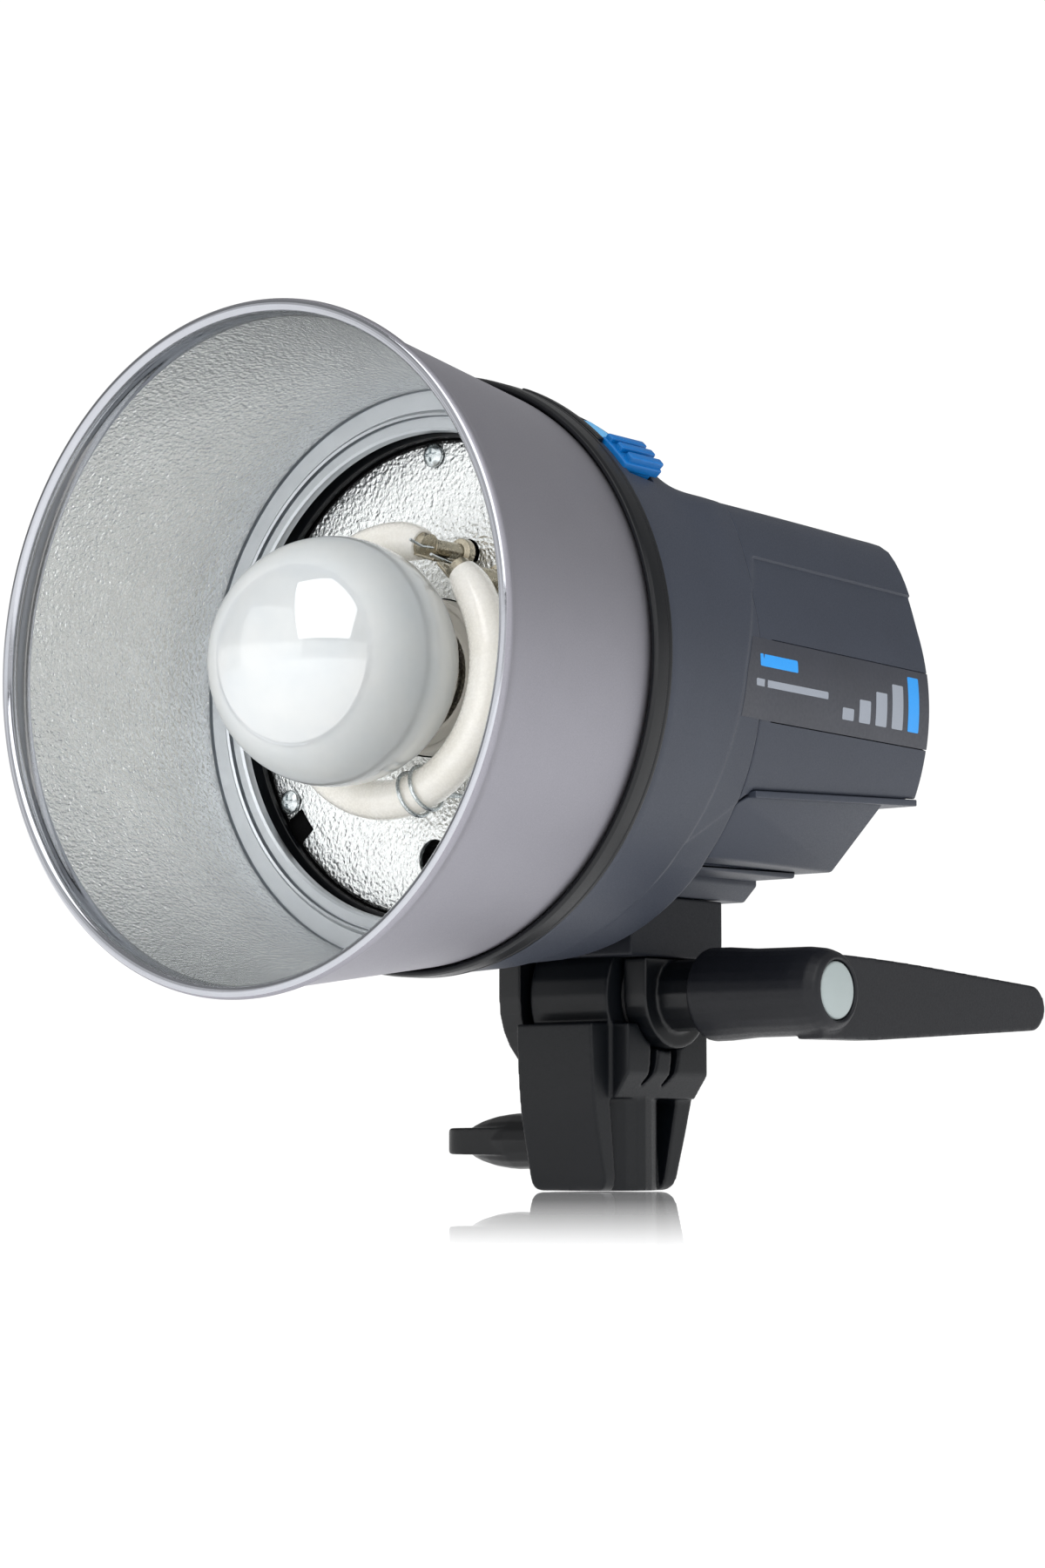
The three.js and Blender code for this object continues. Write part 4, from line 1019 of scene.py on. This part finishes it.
def pan_screw(name, x, z, y_face, direction, head_r=3.0, height=1.6, shank=7.0):
    """A cross-recess pan-head screw whose head stands from y_face in the given direction."""
    def y(v):
        return y_face + direction * v
    profile = [(0, y(height), 0), (head_r * 0.55, y(height * 0.97), 1.5), (head_r, y(height * 0.45), 0.8),
               (head_r, y(0), 0.1), (1.5, y(0), 0.1), (1.5, y(-shank), 0.2), (0, y(-shank), 0)]
    profile = filleted(profile, 0.2, 4, closed=False)
    screw = lathe(name, profile, 40, at=(x, 0, AXIS_Z + z))
    arms = []
    for wide, tall in ((1.75, 0.42), (0.42, 1.75)):
        low = (x - wide, min(y(height * 0.35), y(height + 1)), AXIS_Z + z - tall)
        high = (x + wide, max(y(height * 0.35), y(height + 1)), AXIS_Z + z + tall)
        arms.append(soft_box("arm", low, high, 0.12))
    return shade(carve(screw, *arms))


def globe():
    r, neck, y_neck, y_mid = 29.4, 12.8, -73.4, -101.0
    outer, inner = [], []
    end = math.pi - math.asin((neck + 5) / r)
    for points, radius, throat in ((outer, r, neck), (inner, r - 1, neck - 1)):
        for k in range(49):
            a = end * k / 48
            points.append((radius * math.sin(a), y_mid - radius * math.cos(a)))
        last = Vector(points[-1])
        for k in range(1, 9):
            t = k / 8
            middle = Vector((throat + 0.4, last.y + (y_neck - last.y) * 0.5))
            foot = Vector((throat, y_neck))
            points.append(tuple(last * (1 - t) ** 2 + middle * 2 * t * (1 - t) + foot * t * t))
    outer[0] = (0, outer[0][1])
    inner[0] = (0, inner[0][1])
    made = lathe("lamp_globe_glass", outer + inner[::-1], 128, at=HEAD)
    stands_for(made, "lamp_globe")


def lamp_base():
    cap = [(0, -73), (12.2, -73), (12.6, -72.6)]
    for k in range(60):
        a = k / 59
        cap.append((12.7 + 0.45 * math.cos(a * 4 * 2 * math.pi), -71.5 + a * 22))
    cap += [(11, -48.6), (8, -46.5), (5, -45), (4.6, -43.4), (0, -43)]
    stands_for(lathe("lamp_screw_cap", cap, 72, at=HEAD), "lamp_cap")
    shell = [(0, -38), (19, -38), (19, -70), (17.6, -70.0), (17.2, -69.2), (14.6, -69.2), (13.9, -70),
             (13.9, -41), (0, -41)]
    shell = filleted(shell, 0.5, 3, closed=False)
    stands_for(lathe("lamp_socket_shell", shell, 96, at=HEAD), "lamp_socket")


def flash_tube():
    """A bent tube of thick glass, drawn in a little at its two ends."""
    first = GAP_MIDDLE + GAP_HALF + 1
    last = GAP_MIDDLE - GAP_HALF - 1 + 360
    steps, sides = 120, 28
    verts, faces = [], []
    for skin in (4.8, 3.7):
        for k in range(steps + 1):
            angle = first + (last - first) * k / steps
            swell = 1 - 0.22 * max(0.0, 1 - min(k, steps - k) / 5) ** 2
            for i in range(sides):
                t = 2 * math.pi * i / sides
                x, z = polar(TUBE_R + skin * swell * math.cos(t), angle)
                verts.append((x, TUBE_Y + skin * swell * math.sin(t), z + AXIS_Z))
    n = (steps + 1) * sides
    for layer in (0, n):
        faces += [tuple(v + layer for v in face) for face in grid_faces(steps + 1, sides)]
    for i in range(sides):
        m = (i + 1) % sides
        for k in (0, steps):
            faces.append((k * sides + i, k * sides + m, n + k * sides + m, n + k * sides + i))
    stands_for(shade(new_piece("flash_tube_glass", verts, faces), 60), "flash_tube", material=OPAL_TUBE)


def electrodes():
    """The tube's two ends: a post, a ferrule on its pin, a pierced strap and the starter wire."""
    steel = FINISH["zinc_steel"]
    for index, (x, z) in enumerate(ELECTRODES):
        side = 1 if index else -1
        angle = GAP_MIDDLE + side * GAP_HALF
        dx, dz = polar(1, angle)
        tx, tz = -dz * side, dx * side
        profile = filleted([(0, -57), (2.2, -57), (2.2, -66), (3.4, -66), (3.4, -68.2), (2.0, -68.6),
                            (2.0, -78.5), (0, -78.5)], 0.3, 3, closed=False)
        parts = [lathe("post", profile, 32, at=(x, 0, z + AXIS_Z), materials=(NICKEL,))]
        joints = [(x + tx * a, TUBE_Y, z + tz * a + AXIS_Z) for a in (-1.6, 2.2, 12.0)]
        parts.append(tube("ferrule", joints[:2], 3.1, 24, (NICKEL,)))
        parts.append(tube("pin", joints[1:], 0.7, 12, (TUNGSTEN,)))
        strap = soft_box("strap", (-0.4, -5.2, -3.4), (0.4, 6.0, 3.4), 0.25, (NICKEL,))
        holes = [lathe("hole", [(0, -2), (0.95, -2), (0.95, 2), (0, 2)], 20, "X", (0, y, h))
                 for y, h in ((-3.2, 1.6), (-3.2, -1.6), (0.6, 0.0))]
        strap = shade(carve(strap, *holes))
        middle = Vector((x - tx * 2.6 - dx * 2.4, TUBE_Y + 3, z - tz * 2.6 - dz * 2.4 + AXIS_Z))
        turn = Matrix.Rotation(math.atan2(dx, dz) - math.pi / 2, 4, "Y")
        strap.data.transform(Matrix.Translation(middle * MM) @ turn)
        parts.append(strap)
        wire = [(x - tx * 2, TUBE_Y + 1, z - tz * 2 + AXIS_Z), (x - tx * 4, TUBE_Y - 5, z - tz * 4 + AXIS_Z),
                (x - tx * 3.4 + dx, TUBE_Y - 9, z - tz * 3.4 + dz + AXIS_Z)]
        parts.append(tube("starter_wire", wire, 0.35, 8, (steel,)))
        stands_for(joined(f"electrode_clip_{index + 1}", parts), f"electrode_{index + 1}")


def tube_clip():
    """Two turns of sprung wire round the tube, with their legs brought together through the plate."""
    steel = FINISH["zinc_steel"]
    x, z = polar(TUBE_R, CLIP_ANGLE)
    out_x, out_z = polar(1, CLIP_ANGLE)
    along = Vector((-out_z, 0, out_x))
    outward = Vector((out_x, 0, out_z))
    centre = Vector((x, TUBE_Y, z + AXIS_Z))
    foot = Vector((x, -66, z + AXIS_Z))
    parts = []
    for shift in (-2.0, 2.0):
        loop = []
        for k in range(25):
            t = math.radians(-140 + 280 * k / 24)
            round_tube = Vector((0, -5.5 * math.cos(t), 0)) + outward * 5.5 * math.sin(t)
            loop.append(centre + along * shift + round_tube)
        parts.append(tube("wire", loop, 0.5, 12, (steel,)))
        for end in (loop[0], loop[-1]):
            knee = Vector((x, TUBE_Y + 6.6, z + AXIS_Z)) + along * shift * 0.6
            parts.append(tube("leg", [end, knee, foot, foot + Vector((0, 9, 0))], 0.5, 12, (steel,)))
    stands_for(joined("tube_wire_clip", parts), "tube_clip")


# ---------- rear panel ----------
def rear_fittings():
    restyle(edged, "rear_panel_plate", "rear_panel", 0.35)
    for index, side in enumerate((-1, 1)):
        screw = pan_screw(f"panel_pan_screw_{index + 1}", 45.5 * side, 35, 57.3, 1, 3.0, 1.9, 9.0)
        stands_for(screw, f"panel_screw_{index + 1}")
    restyle(edged, "mains_inlet_body", "mains_inlet", 0.5, 3)
    for k in (1, 2, 3):
        restyle(edged, f"inlet_blade_{k}", f"inlet_pin_{k}", 0.35, 3)
    restyle(edged, "power_rocker_cap", "power_rocker", 0.6, 3)
    cap = [(0, 46), (4.5, 46), (4.5, 54), (6.3, 54), (6.3, 60), (5.6, 61), (0, 61)]
    cap = filleted(cap, 0.3, 3, closed=False)
    knob = lathe("fuse_knob", cap, 64, at=(24, 0, AXIS_Z - 8))
    slot = soft_box("slot", (20, 59.9, AXIS_Z - 8.7), (28, 62, AXIS_Z - 7.3), 0.15)
    stands_for(shade(carve(knob, slot)), "fuse_cap")
    jack = filleted([(1.8, 46), (4.2, 46), (4.2, 57.4), (3.7, 58.4), (2.4, 58.4), (1.8, 57.8)], 0.2, 3)
    stands_for(lathe("sync_jack", jack, 48, at=(42, 0, AXIS_Z - 8), closed=True), "sync_socket")
    restyle(edged, "display_lens", "display_window", 0.5, 3)
    dome = [(0, 53), (5, 53), (5, 57)] + [(5 * math.cos(a), 57 + 5 * math.sin(a))
                                          for a in [math.pi / 2 * k / 10 for k in range(1, 10)]] + [(0, 62)]
    stands_for(lathe("slave_cell_dome", dome, 48, at=(18, 0, AXIS_Z + 35)), "cell_dome")
    for k in (1, 2, 3, 4):
        restyle(edged, f"key_cap_{k}", f"panel_button_{k}", 0.7, 4)


# ---------- bracket, lever and clamp ----------
def tilt_parts():
    restyle(eased, "bracket_body", "bracket_casting", 0.36, 7)
    restyle(eased, "lug_moulding", "tilt_lug", 0.36, 6)
    for side in ("left", "right"):
        restyle(eased, f"ear_moulding_{side}", f"tilt_ear_{side}", 0.36, 6)
        restyle(edged, f"friction_washer_{side}", f"friction_disc_{side}", 0.15)
    restyle(edged, "tilt_bolt_forging", "tilt_bolt", 0.5, 3)
    restyle(eased, "lever_moulding", "tilt_lever", 0.34, 9)
    button = filleted([(0, 58), (7.1, 58), (7.1, 69.6, 0.9), (0, 70.4)], 0.4, 5, closed=False)
    stands_for(lathe("lever_button_cap", button, 72, "X", (0, TILT_Y, TILT_Z)), "lever_button")
    restyle(eased, "clamp_paddle_moulding", "clamp_paddle", 0.32, 9)


def plate_screws():
    for index, (x, z) in enumerate(SCREWS):
        stands_for(pan_screw(f"plate_screw_{index + 1}", x, z, -65.3, -1), f"base_screw_{index + 1}")


aim_camera()
reflector()
front_ring()
reflector_lock()
upper_shell()
bell_shell()
side_labels()
lower_housing()
base_plate()
plate_screws()
globe()
lamp_base()
flash_tube()
electrodes()
tube_clip()
rear_fittings()
tilt_parts()


# ---------- the CAD nodes that stay ----------
for node, obj in frame["nodes"].items():
    if not obj.hide_render:
        for slot in obj.material_slots:
            # The bulkhead gets the painted-shade black; every other node keeps its slot's finish.
            slot.material = GAP_SHADE_BLACK if node == "bulkhead" else FINISH[SLOT_OF[node]]


# ---------- studio ----------
def floor_finish():
    """Glossy white: seen from low down it mirrors what stands on it, from above it is plain."""
    made = Finish("floor_gloss", linear(250, 250, 250), 0.5, Emission_Strength=0.8)
    made.set("Emission Color", (1, 1, 1, 1))
    tone = made.noise(900, 2)
    made.to("Base Color", made.ramp(tone, (0.3, linear(240, 240, 241)), (0.7, linear(246, 246, 246))))
    mirror = made.node("ShaderNodeBsdfGlossy")
    mirror.inputs["Color"].default_value = (1, 1, 1, 1)
    mirror.inputs["Roughness"].default_value = 0.0
    view = made.node("ShaderNodeLayerWeight")
    view.inputs["Blend"].default_value = 0.5
    share = made.spread(view.outputs["Facing"], 0.0, 0.9, (0.962, 0.986))
    blend = made.node("ShaderNodeMixShader")
    made.link(share, blend.inputs["Fac"])
    made.link(made.shader.outputs["BSDF"], blend.inputs[1])
    made.link(mirror.outputs["BSDF"], blend.inputs[2])
    made.link(blend.outputs["Shader"], made.tree.nodes["Material Output"].inputs["Surface"])
    return made.material


def white_surround():
    """White behind the object, with softer light from all round."""
    world = bpy.data.worlds.new("studio")
    bpy.context.scene.world = world
    world.use_nodes = True
    nodes, links = world.node_tree.nodes, world.node_tree.links
    seen = nodes["Background"]
    seen.inputs["Color"].default_value = (1, 1, 1, 1)
    seen.inputs["Strength"].default_value = 1.05
    light = nodes.new("ShaderNodeBackground")
    direction = nodes.new("ShaderNodeTexCoord")
    split = nodes.new("ShaderNodeSeparateXYZ")
    height = nodes.new("ShaderNodeValToRGB")
    elements = height.color_ramp.elements
    while len(elements) < 4:
        elements.new(0.5)
    tones = ((0.0, 1.0), (0.14, 1.0), (0.22, 0.3), (0.9, 0.44))
    for element, (position, tone) in zip(elements, tones):
        element.position = position
        element.color = (tone, tone, tone, 1)
    light.inputs["Strength"].default_value = 1.0
    blend = nodes.new("ShaderNodeMixShader")
    path = nodes.new("ShaderNodeLightPath")
    links.new(direction.outputs["Generated"], split.inputs["Vector"])
    links.new(split.outputs["Z"], height.inputs["Fac"])
    links.new(height.outputs["Color"], light.inputs["Color"])
    links.new(path.outputs["Is Camera Ray"], blend.inputs["Fac"])
    links.new(light.outputs["Background"], blend.inputs[1])
    links.new(seen.outputs["Background"], blend.inputs[2])
    links.new(blend.outputs["Shader"], nodes["World Output"].inputs["Surface"])


def softbox(name, spot, target, width, height, watts):
    data = bpy.data.lights.new(name, "AREA")
    data.shape = "RECTANGLE"
    data.size, data.size_y = width, height
    data.energy = watts
    light = bpy.data.objects.new(name, data)
    bpy.context.scene.collection.objects.link(light)
    light.location = spot
    light.rotation_mode = "QUATERNION"
    light.rotation_quaternion = (Vector(target) - Vector(spot)).to_track_quat("-Z", "Y")


def studio():
    half, level = 6000, -0.2
    corners = [(-half, -half, level), (half, -half, level), (half, half, level), (-half, half, level)]
    floor = new_piece("floor", corners, [(0, 1, 2, 3)], (floor_finish(),))
    white_surround()
    softbox("key", (0.55, -0.9, 1.03), (0, -0.1, 0.12), 1.25, 1.5, 16)
    softbox("front", (-0.6, -2.0, 0.6), (0, -0.1, 0.12), 2.6, 2.0, 9)
    softbox("side", (1.6, 0.2, 0.6), (0, 0, 0.12), 0.8, 1.1, 5)
    bpy.context.scene.view_settings.view_transform = "Standard"


studio()
